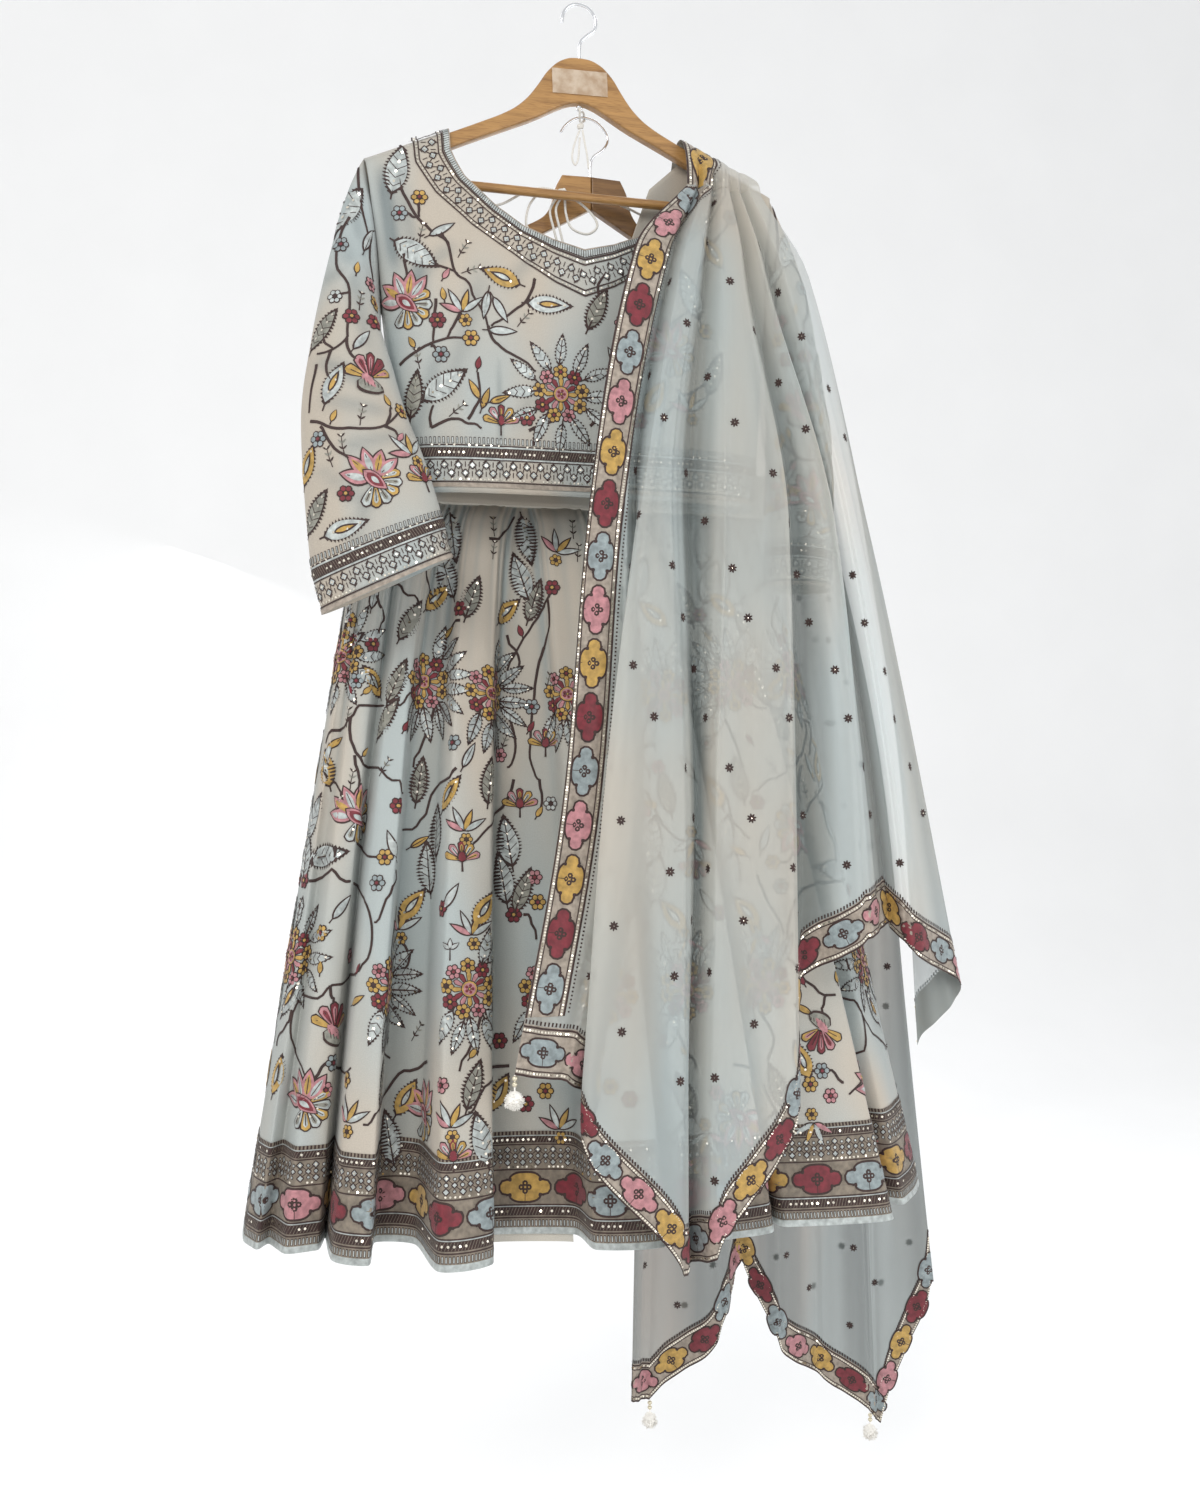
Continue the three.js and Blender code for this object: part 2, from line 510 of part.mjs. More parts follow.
function foldAt(table, c, height) {
  const last = LEVELS.length - 1;
  const z = table === FRONT_FALL ? Math.max(height, LEVELS[last]) : height;
  const level = clamp(LEVELS.findIndex((low) => z > low), 1, last);
  const k = z <= LEVELS[last] ? last : level;
  const t = (z - LEVELS[k - 1]) / (LEVELS[k] - LEVELS[k - 1]);
  const spot = (i) => {
    const row = table[clamp(i, 0, table.length - 1)];
    return [lerp(row[2 * k - 2], row[2 * k], t), lerp(row[2 * k - 1], row[2 * k + 1], t)];
  };
  const i = clamp(Math.floor(c), 0, table.length - 2);
  const f = c - i;
  const [p0, p1, p2, p3] = [spot(i - 1), spot(i), spot(i + 1), spot(i + 2)];
  const bend = (m) => {
    const m1 = (p2[m] - p0[m]) * 0.3;
    const m2 = (p3[m] - p1[m]) * 0.3;
    const [f2, f3] = [f * f, f * f * f];
    return (2 * f3 - 3 * f2 + 1) * p1[m] + (f3 - 2 * f2 + f) * m1 + (3 * f2 - 2 * f3) * p2[m] + (f3 - f2) * m2;
  };
  return new THREE.Vector3(bend(0), bend(1), height);
}
const hemAt = (table, c) => {
  const i = clamp(Math.floor(c), 0, table.length - 2);
  return lerp(table[i][10], table[i + 1][10], c - i);
};
const FALL_TOP = -206;
const FALL_ROWS = 9;
function fallRow(table, c, j) {
  const hem = hemAt(table, c);
  if (j === 0) return hem;
  return lerp(hem + END_BORDER, FALL_TOP, (j - 1) / (FALL_ROWS - 2));
}
function fallGrid(table, c0, c1, steps, trim = 0.012) {
  const count = Math.round((c1 - c0) * steps) + 1;
  const at = (i) => {
    if (i === 0 && c0 > 0) return c0 + 0.012;
    if (i === count - 1 && c1 < table.length - 1) return c1 - trim;
    return c0 + i / steps;
  };
  return sample((c, z) => foldAt(table, c, z), count, FALL_ROWS, (i, j) => [at(i), fallRow(table, at(i), j)]);
}
// The edge stretch stops at the bottom of its valley, a little before the fold line.
for (const [label, c0, c1, trim] of [['edge', 0, 2, 0.07], ['middle', 2, 8, 0.012], ['outer', 8, 13, 0]]) {
  const grid = fallGrid(FRONT_FALL, c0, c1, 2, trim);
  wall(`scarf_front_${label}`, grid, mats.scarf, -SCARF, 0);
  const trimmed = [label === 'middle' ? 1 : 0, grid.nu - (label === 'edge' ? 2 : 1)];
  wall(`scarf_end_border_${label}`, grid, mats.border, SEAM, SEAM + TRIM, trimmed, [0, 1]);
  if (label === 'edge') {
    wall('scarf_long_border_front', grid, mats.border, SEAM, SEAM + TRIM, [0, 2], [1, FALL_ROWS - 1]);
  }
}
for (const [label, c0, c1] of [['left', 0, 3], ['right', 3, 8]]) {
  const grid = fallGrid(REAR_FALL, c0, c1, 2);
  wall(`scarf_rear_${label}`, grid, mats.scarf, -SCARF, 0);
  wall(`scarf_rear_border_${label}`, grid, mats.border, SEAM, SEAM + TRIM, [0, grid.nu - 1], [0, 1]);
}

// The stretch over the shoulder: angle across the shoulder, front to back, and column.
function shoulderPoint(c, a) {
  const front = foldAt(FRONT_FALL, c, FALL_TOP);
  const rear = foldAt(REAR_FALL, c * 8 / 13, FALL_TOP);
  const x = lerp(front.x, rear.x, a / Math.PI);
  const lift = 3 + 2.5 * Math.abs(Math.sin((c / 13) * Math.PI * 5));
  const reach = a < Math.PI / 2 ? front.y : -rear.y;
  const z = lerp(FALL_TOP + SEAM, shoulderZ(x) + lift, Math.abs(Math.sin(a)) ** 0.7);
  return new THREE.Vector3(x, reach * Math.cos(a), z);
}
const saddle = sample(shoulderPoint, 14, 9, (i, j) => [i, clamp((j / 8) * Math.PI, 0.004, Math.PI - 0.004)]);
wall('scarf_shoulder', saddle, mats.scarf, -SCARF, 0);

// Corner tassels: three beads and a wool ball, profile of radius and height below the corner.
const TASSEL = [[0, 0], [1.6, -1], [3, -3.5], [1.4, -6.5], [3, -9.5], [1.6, -12.5], [6.5, -15],
  [10.2, -21.5], [10.2, -28], [6.5, -34], [0, -37]];
for (const [label, x, y, z] of [['front', -110.8, -173, -1183.5], ['rear_left', 142, 186.6, -1702.5],
  ['rear_right', 448.6, 172, -1749.4]]) {
  turned(`tassel_${label}`, [x, y], TASSEL.map(([r, h]) => [r, z + h]), mats.pom, 10);
}

// ---------- cords ----------

// Eye under the front hanger, and the cord that carries the rear hanger's hook from it.
rope('hanger_eye', [[0, 0, -114.7], [3, 0, -117.7], [0, 0, -120.7], [-3, 0, -117.7]], 0.9, mats.chrome,
  { sides: 6, steps: 3, ring: true });
rope('hang_cord', [
  [0, 0, -117.6], [0, -3.4, -120.6], [0.6, 0, -124], [4, 10, -127], [10, 22, -122], [14, 29, -117.4],
  [14.2, 34, -114.4], [13.5, 31, -109.6], [11, 24, -110.4], [7, 14, -114.6], [2, 6, -117.2],
], 1.2, mats.cord, { sides: 6, steps: 1, ring: true });
turned('hang_knot', [4.2, 10.4], [[0, -128.8], [2.8, -130.4], [3.4, -133], [2.8, -135.6], [0, -137]], mats.cord, 8);
rope('hang_drop', [
  [3.4, 10.4, -137.2], [-0.5, 10.4, -147], [-4.5, 10.4, -160], [-5.5, 10.4, -172], [-2, 10.4, -178],
  [1.5, 10.4, -171], [2.6, 10.4, -158], [3.4, 10.4, -146],
], 1.1, mats.cord, { sides: 6, steps: 1 });
rope('hang_tail', [[6.6, 10.4, -137.2], [9, 10.4, -150], [12, 10.4, -165], [14, 10.4, -181]], 1.1, mats.cord,
  { sides: 6, steps: 1 });

// Neck tie of the blouse: two strings from the back neck edge, a knot, a bow and hanging tapes.
const TIE_Y = 10.5;
turned('dori_knot', [-18, TIE_Y], [[0, -205.6], [3.6, -208], [4.6, -212], [3.6, -216], [0, -218]], mats.cord, 8);
rope('dori_left', [[-114.3, 15.4, -233], [-90, 12.6, -232], [-62, TIE_Y, -216], [-42, TIE_Y, -209],
  [-22.9, TIE_Y, -210.6]], 1.4, mats.cord, { sides: 6, steps: 1 });
rope('dori_right', [[77.4, 15.4, -226], [54, 12, -219], [20, TIE_Y, -212], [-13, TIE_Y, -210.6]], 1.4,
  mats.cord, { sides: 6, steps: 1 });
rope('dori_bow_left', [[-23.2, TIE_Y, -213.6], [-42, TIE_Y, -214], [-56, TIE_Y, -230], [-60, TIE_Y, -252],
  [-52, TIE_Y, -262]], 1.4, mats.cord, { sides: 6, steps: 1 });
rope('dori_bow_right', [[-12.9, TIE_Y, -213.8], [4, TIE_Y, -222], [20, TIE_Y, -236], [24, TIE_Y, -248],
  [12, TIE_Y, -257], [-6, TIE_Y, -252], [-13, TIE_Y, -236], [-14.4, TIE_Y, -218.8]], 1.4, mats.cord,
{ sides: 6, steps: 1 });
rope('dori_tail_a', [[-19.2, TIE_Y, -218.4], [-25, TIE_Y, -232], [-21, TIE_Y, -252], [-15, TIE_Y, -276]], 1.4,
  mats.cord, { sides: 6, steps: 1 });
rope('dori_tail_b', [[-22.2, 13.4, -215.9], [-31, 14.4, -232], [-27, 14.4, -252], [-22, 14.4, -270]], 1.4,
  mats.cord, { sides: 6, steps: 1 });

export default group;
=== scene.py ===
"""A lehenga set on two hangers: blouse, pleated skirt and sheer scarf, with raised embroidery.

Shapes are in millimetres in the part's frame; the picture is 1200 x 1500 pixels.
"""
import math

import bpy
import numpy as np
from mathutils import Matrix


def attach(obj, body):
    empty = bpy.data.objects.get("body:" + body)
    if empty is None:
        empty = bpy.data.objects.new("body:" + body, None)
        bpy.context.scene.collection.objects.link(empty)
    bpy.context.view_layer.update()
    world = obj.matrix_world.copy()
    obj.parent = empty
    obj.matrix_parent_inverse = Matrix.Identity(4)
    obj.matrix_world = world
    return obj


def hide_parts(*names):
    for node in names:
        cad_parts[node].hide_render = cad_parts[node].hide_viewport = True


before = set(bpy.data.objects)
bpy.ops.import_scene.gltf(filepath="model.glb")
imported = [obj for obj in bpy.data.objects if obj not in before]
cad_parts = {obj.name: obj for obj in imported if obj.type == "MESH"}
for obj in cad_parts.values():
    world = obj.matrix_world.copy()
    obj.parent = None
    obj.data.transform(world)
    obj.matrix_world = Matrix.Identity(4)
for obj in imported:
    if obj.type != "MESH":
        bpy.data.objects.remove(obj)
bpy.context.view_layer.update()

MM = 0.001
RNG = np.random.default_rng(7)

# ---------- camera ----------

YAW = math.radians(15.0)
WIDE, HIGH = 1200, 1500                          # pixels
FOCAL = 1409.0                                   # pixels
EYE = np.array([-396.2, -1571.35, -855.0])       # millimetres
FORWARD = np.array([math.sin(YAW), math.cos(YAW), 0.0])
RIGHT = np.array([math.cos(YAW), -math.sin(YAW), 0.0])

camera_data = bpy.data.cameras.new("camera")
camera_data.sensor_fit = "VERTICAL"
camera_data.sensor_height = 36.0
camera_data.lens = camera_data.sensor_height * FOCAL / HIGH
camera_data.clip_end = 50.0
camera = bpy.data.objects.new("camera", camera_data)
camera.location = EYE * MM
camera.rotation_euler = (math.pi / 2, 0.0, -YAW)
bpy.context.scene.collection.objects.link(camera)
bpy.context.scene.camera = camera
bpy.context.scene.view_settings.view_transform = "Standard"


def project(points):
    """Pixel and depth of points."""
    rel = points - EYE
    depth = rel @ FORWARD
    return WIDE / 2 + FOCAL * (rel @ RIGHT) / depth, HIGH / 2 - FOCAL * rel[..., 2] / depth, depth


# ---------- small helpers ----------

def lerp(a, b, t):
    return a + (b - a) * t


def ease(t):
    t = np.clip(t, 0.0, 1.0)
    return t * t * (3 - 2 * t)


def read(rows, key):
    """A table's second column read at a key in its first, by straight lines."""
    rows = np.asarray(rows, float)
    return np.interp(key, rows[:, 0], rows[:, 1])


def cubic(a, b, slope_a, slope_b, f):
    """A cubic from a to b with its slopes there, at the share f of the way."""
    f2, f3 = f * f, f * f * f
    return (2 * f3 - 3 * f2 + 1) * a + (f3 - 2 * f2 + f) * slope_a + (3 * f2 - 2 * f3) * b + (f3 - f2) * slope_b


def hermite(p0, p1, p2, p3, f, pull):
    """A smooth curve from p1 to p2, with slopes set by the points round them."""
    return cubic(p1, p2, (p2 - p0) * pull, (p3 - p1) * pull, f)


def unit(v):
    return v / np.maximum(np.linalg.norm(v, axis=-1, keepdims=True), 1e-9)


def run_of(points):
    """Length along a row of points, from 0 at the first."""
    return np.r_[0, np.cumsum(np.linalg.norm(np.diff(points, axis=0), axis=1))]


def polar(radius, angle):
    """The point at a distance and a direction from the middle."""
    return np.array([radius * math.cos(angle), radius * math.sin(angle)])


def smooth_path(points, steps=8):
    """Points of a smooth open curve through the given ones."""
    p = np.asarray(points, float)
    out = []
    for i in range(len(p) - 1):
        a, b, c, d = p[np.clip(np.arange(i - 1, i + 3), 0, len(p) - 1)]
        out += [hermite(a, b, c, d, f, 0.5) for f in np.arange(steps) / steps]
    return np.array(out + [p[-1]])


def rgb(code):
    """Linear colour of a hex code."""
    c = np.array([int(code[i:i + 2], 16) for i in (0, 2, 4)]) / 255.0
    return tuple(np.where(c <= 0.04045, c / 12.92, ((c + 0.055) / 1.055) ** 2.4))


def link(obj):
    bpy.context.scene.collection.objects.link(obj)
    return obj


def make_mesh(name, points, faces, uv=None, mats=(), index=None, tone=None):
    """A mesh from points in millimetres and an array of triangles or quads."""
    mesh = bpy.data.meshes.new(name)
    points = np.asarray(points, float) * MM
    faces = np.asarray(faces, np.int32)
    count, sides = faces.shape
    mesh.vertices.add(len(points))
    mesh.vertices.foreach_set("co", points.ravel())
    mesh.loops.add(count * sides)
    mesh.loops.foreach_set("vertex_index", faces.ravel())
    mesh.polygons.add(count)
    mesh.polygons.foreach_set("loop_start", np.arange(count, dtype=np.int32) * sides)
    mesh.update(calc_edges=True)
    mesh.validate()
    if uv is not None:
        layer = mesh.uv_layers.new(name="cloth")
        layer.data.foreach_set("uv", (np.asarray(uv, float)[faces.ravel()] * MM).ravel())
    # Painted light per point: low values give painted shade in the cloth's colour.
    if tone is not None:
        layer = mesh.attributes.new("tone", "FLOAT", "POINT")
        layer.data.foreach_set("value", np.asarray(tone, float).ravel())
    for m in mats:
        mesh.materials.append(m)
    if index is not None:
        mesh.polygons.foreach_set("material_index", np.asarray(index, np.int32))
    mesh.polygons.foreach_set("use_smooth", np.full(count, True))
    mesh.update()
    return link(bpy.data.objects.new(name, mesh))


def grid_faces(nu, nv, closed=False):
    i = np.arange(nu if closed else nu - 1)[:, None]
    j = np.arange(nv - 1)[None, :]
    k = (i + 1) % nu
    return np.stack([i * nv + j, k * nv + j, k * nv + j + 1, i * nv + j + 1], axis=-1).reshape(-1, 4)


def finish_piece(obj, slot, *nodes):
    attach(obj, "root")
    if nodes:
        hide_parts(*nodes)
    return obj


# ---------- materials ----------

def shade(colour, factor):
    return tuple(min(1.0, factor * c) for c in colour)


def grey(value):
    return (value, value, value)


class Paint:
    """A material in the making, with its main shader's own values set by name."""

    def __init__(self, name, **values):
        self.material = bpy.data.materials.new(name)
        self.material.use_nodes = True
        self.nodes, self.links = self.material.node_tree.nodes, self.material.node_tree.links
        self.shader = self.nodes["Principled BSDF"]
        for key, value in values.items():
            self.shader.inputs[key.replace("_", " ")].default_value = value

    def node(self, kind, inputs=None, **props):
        """A new node. An input is a value or the output that feeds it."""
        made = self.nodes.new("ShaderNode" + kind)
        for key, value in props.items():
            setattr(made, key, value)
        for key, value in (inputs or {}).items():
            if isinstance(value, bpy.types.NodeSocket):
                self.links.new(value, made.inputs[key])
            else:
                made.inputs[key].default_value = value
        return made

    def uv(self):
        return self.node("UVMap").outputs["UV"]

    def where(self, scale=None):
        """Place on the object, stretched by a scale for each axis."""
        spot = self.node("TexCoord").outputs["Object"]
        return spot if scale is None else self.node("Mapping", {"Vector": spot, "Scale": scale}).outputs["Vector"]

    def tone(self):
        """The cloth's painted light attribute: from 0 in a valley, fully in painted shade, to 1 on a crest, unshaded.
        """
        return self.node("Attribute", attribute_name="tone").outputs["Fac"]

    def noise(self, vector, scale, detail=3.0, rough=0.5):
        return self.node("TexNoise", {"Vector": vector, "Scale": scale, "Detail": detail,
                                      "Roughness": rough}).outputs["Fac"]

    def wave(self, axis, scale, distortion, detail, detail_scale):
        return self.node("TexWave", {"Vector": self.uv(), "Scale": scale, "Distortion": distortion, "Detail": detail,
                                     "Detail Scale": detail_scale}, bands_direction=axis).outputs["Fac"]

    def weave(self, pitch):
        """Height of a plain weave with that many metres between threads."""
        x, y = (self.wave(axis, 0.314 / pitch, 1.2, 1.0, 2.0) for axis in "XY")
        return self.node("Math", {0: x, 1: y}, operation="ADD").outputs[0]

    def ramp(self, source, *stops):
        made = self.node("ValToRGB", {"Fac": source})
        elements = made.color_ramp.elements
        while len(elements) < len(stops):
            elements.new(0.5)
        for element, (at, colour) in zip(elements, stops):
            element.position = at
            element.color = (*colour, 1.0)
        return made.outputs["Color"]

    def mix(self, fac, a, b):
        """From a to b by fac."""
        a = (*a, 1.0) if isinstance(a, tuple) else a
        return self.node("Mix", {0: fac, 6: a, 7: b}, data_type="RGBA").outputs[2]

    def times(self, a, b):
        return self.node("Mix", {0: 1.0, 6: a, 7: b}, data_type="RGBA", blend_type="MULTIPLY").outputs[2]

    def colour(self, source):
        self.links.new(source, self.shader.inputs["Base Color"])

    def bump(self, height, strength, distance, under=None, last=True):
        """A bump over the one under it. The last one goes to the shader."""
        inputs = {"Strength": strength, "Distance": distance, "Height": height}
        if under is not None:
            inputs["Normal"] = under
        normal = self.node("Bump", inputs).outputs["Normal"]
        if last:
            self.links.new(normal, self.shader.inputs["Normal"])
        return normal


def cloth_material(name, cool, warm, dark, rough=0.72, sheen=0.2, pitch=0.0009, share=(0.38, 0.60)):
    """Mottled dull cloth with painted shade: mixed towards the dark colour where the painted light attribute is low, as
    in fold valleys.
    """
    p = Paint(name, Roughness=rough, Sheen_Weight=sheen, Sheen_Roughness=0.4, Specular_IOR_Level=0.25)
    broad = p.noise(p.where((6.0, 6.0, 2.2)), 1.0, 2.0)
    # Painted shade: the fold attribute mixes the mottled colour towards the dark valley colour.
    painted_shade_colour = p.mix(p.tone(), dark, p.ramp(broad, (share[0], cool), (share[1], warm)))
    p.colour(p.times(painted_shade_colour, p.ramp(p.noise(p.uv(), 900.0, 2.0), (0.3, grey(0.90)), (0.7, grey(1.04)))))
    soft = p.bump(p.noise(p.where((30, 30, 9)), 1.0, 3.0), 0.35, 0.004, last=False)
    p.bump(p.weave(pitch), 0.35, 0.0003, soft)
    return p.material


def sheer_material(name, cool, warm, dark, opacity, pitch=0.0008):
    """Sheer crepe: part of the light passes straight, part is scattered through. Painted shade in the fold valleys as
    for the dull cloth.
    """
    p = Paint(name, Roughness=0.75, Sheen_Weight=0.2, Specular_IOR_Level=0.2)
    broad = p.noise(p.where((7.0, 7.0, 1.6)), 1.0, 2.0)
    # Painted shade: the fold attribute mixes the colour towards the dark valley colour.
    colour = p.mix(p.tone(), dark, p.ramp(broad, (0.38, cool), (0.60, warm)))
    p.colour(colour)
    through = p.node("BsdfTranslucent", {"Color": colour, "Normal": p.bump(p.weave(pitch), 0.3, 0.0003)})
    body = p.node("MixShader", {"Fac": 0.3, 1: p.shader.outputs[0], 2: through.outputs[0]})
    whole = p.node("MixShader", {"Fac": opacity, 1: p.node("BsdfTransparent").outputs[0], 2: body.outputs[0]})
    p.links.new(whole.outputs[0], p.nodes["Material Output"].inputs["Surface"])
    return p.material


def thread_material(name, code, gleam, rough=0.5, metal=0.0):
    """Satin stitch: fine threads across the shape, each a little lighter or darker."""
    p = Paint(name, Roughness=rough, Metallic=metal, Sheen_Weight=gleam)
    threads = p.wave("X", 350.0, 1.5, 2.0, 1.5)
    base = p.ramp(p.noise(p.where(), 160.0, 2.0), (0.3, shade(rgb(code), 0.72)), (0.7, shade(rgb(code), 1.22)))
    p.colour(p.times(base, p.ramp(threads, (0.0, grey(0.78)), (0.6, grey(1.05)))))
    p.bump(threads, 0.5, 0.0004)
    return p.material


def wood_material(name, light, dark):
    p = Paint(name, Roughness=0.42, Coat_Weight=0.25, Coat_Roughness=0.3)
    grain = p.noise(p.where((9.0, 60.0, 130.0)), 1.0, 5.0, 0.62)
    pores = p.noise(p.where((60.0, 700.0, 900.0)), 1.0, 2.0, 0.6)
    base = p.ramp(grain, (0.28, dark), (0.52, light), (0.75, shade(light, 1.15)))
    p.colour(p.times(base, p.ramp(pores, (0.32, (0.72, 0.66, 0.6)), (0.5, grey(1.0)))))
    p.bump(pores, 0.15, 0.0004)
    return p.material


def plain_material(name, colour, rough, metal=0.0, scale=300.0, depth=0.0002, vary=0.12):
    """A small smooth part with a faint unevenness in colour and surface."""
    p = Paint(name, Roughness=rough, Metallic=metal)
    fine = p.noise(p.where(), scale, 3.0)
    p.colour(p.ramp(fine, (0.3, shade(colour, 1 - vary)), (0.7, shade(colour, 1 + vary))))
    p.bump(fine, 0.3, depth)
    return p.material


def tape_material():
    p = Paint("tape", Roughness=0.35, Alpha=0.82)
    rumple = p.noise(p.where(), 90.0, 3.0)
    p.colour(p.ramp(rumple, (0.35, rgb("b39a80")), (0.65, rgb("cdbba6"))))
    p.bump(rumple, 0.4, 0.0006)
    return p.material


# The third colour of each cloth below is painted shade, used in fold valleys and creases.
AQUA, BEIGE, PAINTED_VALLEY_SHADE = rgb("aeb6b5"), rgb("bfb6a9"), rgb("979f9e")
MATS = {
    "wood": wood_material("wood", rgb("a57c48"), rgb("805a30")),
    "wood_dark": wood_material("wood_dark", rgb("7a5830"), rgb("583a1c")),
    "chrome": plain_material("chrome", (0.78, 0.79, 0.81), 0.16, 1.0, 80.0, 0.0001, 0.05),
    "cord": plain_material("cord", rgb("d9d6cf"), 0.85, 0.0, 900.0, 0.0006),
    "wool": plain_material("wool", rgb("f3f0ea"), 0.95, 0.0, 1200.0, 0.0008, 0.08),
    "bead": plain_material("bead", rgb("d8cfb8"), 0.25, 0.6, 400.0, 0.0001),
    "skirt": cloth_material("skirt_cloth", AQUA, BEIGE, PAINTED_VALLEY_SHADE),
    "blouse": cloth_material("blouse_cloth", rgb("abb4b4"), rgb("bab0a2"), rgb("7b8485"), share=(0.36, 0.54)),
    "satin": cloth_material("satin", rgb("cdcbc2"), rgb("d6d0c4"), rgb("8d8a82"), 0.45, 0.3, 0.0006),
    "sheer": sheer_material("scarf_cloth", rgb("d0dada"), rgb("ddd7cc"), rgb("838b8a"), 0.66),
    # The rear fall's copy of the scarf cloth: more opaque for the doubled cloth, and darker throughout as painted
    # shade.
    "sheer_rear_painted_shade": sheer_material("scarf_rear_cloth_painted_shade", rgb("8f9694"), rgb("958f86"), rgb("676e6c"), 0.86),
    "tape": tape_material(),
    "sequin": plain_material("sequin", (0.86, 0.80, 0.68), 0.18, 1.0, 500.0, 0.0001),
}
MATS.update({key: thread_material(name, *values) for key, name, *values in (
    ("taupe", "band_ground", "a3978a", 0.15, 0.6), ("umber", "band_ground_dark", "857a6c", 0.1, 0.6),
    ("brown", "thread_brown", "38231f", 0.05, 0.6), ("maroon", "thread_maroon", "77242f", 0.1),
    ("pink", "thread_pink", "b77f84", 0.15), ("yellow", "thread_yellow", "b8944c", 0.15),
    ("blue", "thread_blue", "8f9a9c", 0.15), ("grey", "thread_grey", "8c8b81", 0.15),
    ("silver", "thread_silver", "b6bcba", 0.15, 0.4, 0.3))})

# ---------- light and floor ----------

world = bpy.data.worlds.new("world")
bpy.context.scene.world = world
world.use_nodes = True
sky = world.node_tree.nodes["Background"]
sky.inputs["Color"].default_value = (0.98, 0.99, 1.0, 1.0)
sky.inputs["Strength"].default_value = 0.77


def area_light(name, spot, target, size, power, colour):
    data = bpy.data.lights.new(name, "AREA")
    data.size = size
    data.energy = power
    data.color = colour
    lamp = link(bpy.data.objects.new(name, data))
    lamp.location = spot
    aim = np.array(target) - np.array(spot)
    flat = math.hypot(aim[0], aim[1])
    lamp.rotation_euler = (math.atan2(flat, -aim[2]), 0.0, math.atan2(-aim[0], aim[1]))


area_light("key", (-1.9, -3.0, 1.2), (0.0, 0.3, -0.8), 1.6, 66.0, (1.0, 0.975, 0.94))
area_light("fill", (2.2, -2.6, -0.4), (0.0, 0.0, -0.9), 2.0, 30.0, (0.95, 0.98, 1.0))
area_light("back", (0.5, 2.6, 0.8), (0.0, 0.0, -0.8), 2.4, 40.0, (0.97, 0.98, 1.0))

FLOOR_Z, BACK_Y, BEND = -1.92, 3.4, 1.2
profile = [(-7.0, FLOOR_Z), (BACK_Y - BEND, FLOOR_Z)]
profile += [(BACK_Y - BEND + BEND * math.sin(a), FLOOR_Z + BEND * (1 - math.cos(a)))
            for a in np.linspace(0.1, math.pi / 2, 14)]
profile += [(BACK_Y, 6.0)]
sweep = np.array([[(x, y, z) for y, z in profile] for x in np.linspace(-9, 9, 5)]) / MM
floor = make_mesh("floor", sweep.reshape(-1, 3), grid_faces(5, len(profile)),
                  mats=[plain_material("floor_paint", (0.93, 0.93, 0.93), 0.9, 0.0, 3.0, 0.0001, 0.01)])

# ---------- cords and wires ----------

def wire(name, points, radius, mat, slot, nodes, steps=8):
    """An open round cord or wire along a smooth curve through the points."""
    path = smooth_path(points, steps)
    curve = bpy.data.curves.new(name, "CURVE")
    curve.dimensions = "3D"
    curve.bevel_depth = radius * MM
    curve.bevel_resolution = 3
    curve.use_fill_caps = True
    spline = curve.splines.new("POLY")
    spline.points.add(len(path) - 1)
    for p, at in zip(spline.points, path):
        p.co = (*(at * MM), 1.0)
    curve.materials.append(MATS[mat])
    obj = link(bpy.data.objects.new(name, curve))
    finish_piece(obj, slot, *nodes)
    return obj, float(run_of(path)[-1]) * MM, path


def free_cord(name, points, radius, nodes):
    obj, length, path = wire(name, points, radius, "cord", "cord", nodes)
    return obj


TIE_Y = 10.5
free_cord("tie_left", [(-114.3, 15.4, -233), (-90, 12.6, -232), (-62, TIE_Y, -216), (-42, TIE_Y, -209),
                       (-22.9, TIE_Y, -210.6)], 1.4, ["dori_left"])
free_cord("tie_right", [(77.4, 15.4, -226), (54, 12, -219), (20, TIE_Y, -212), (-13, TIE_Y, -210.6)], 1.4,
          ["dori_right"])
free_cord("tie_bow_left", [(-23.2, TIE_Y, -213.6), (-42, TIE_Y, -214), (-56, TIE_Y, -230), (-60, TIE_Y, -252),
                           (-52, TIE_Y, -262)], 1.4, ["dori_bow_left"])
free_cord("tie_bow_right", [(-12.9, TIE_Y, -213.8), (4, TIE_Y, -222), (20, TIE_Y, -236), (24, TIE_Y, -248),
                            (12, TIE_Y, -257), (-6, TIE_Y, -252), (-13, TIE_Y, -236), (-14.4, TIE_Y, -218.8)],
          1.4, ["dori_bow_right"])
free_cord("tie_tail_a", [(-19.2, TIE_Y, -218.4), (-25, TIE_Y, -232), (-21, TIE_Y, -252), (-15, TIE_Y, -276)],
          1.4, ["dori_tail_a"])
free_cord("tie_tail_b", [(-22.2, 13.4, -215.9), (-31, 14.4, -232), (-27, 14.4, -252), (-22, 14.4, -270)],
          1.4, ["dori_tail_b"])
free_cord("carry_cord", [(3.2, 9.0, -128.2), (1.4, 3.0, -126.0), (0.3, -1.6, -123.0), (0, -3.2, -120.6),
                         (0, 0, -117.6), (2, 6, -117.2), (7, 14, -114.6), (11, 24, -110.4), (13.5, 31, -109.6),
                         (14.2, 34, -114.4), (14, 29, -117.4), (10, 22, -122), (5.6, 12.2, -128.2)],
          1.2, ["hang_cord"])
free_cord("carry_drop", [(3.4, 10.4, -137.2), (-0.5, 10.4, -147), (-4.5, 10.4, -160), (-5.5, 10.4, -172),
                         (-2, 10.4, -178), (1.5, 10.4, -171), (2.6, 10.4, -158), (3.4, 10.4, -146)],
          1.1, ["hang_drop"])
free_cord("carry_tail", [(6.6, 10.4, -137.2), (9, 10.4, -150), (12, 10.4, -165), (14, 10.4, -181)],
          1.1, ["hang_tail"])
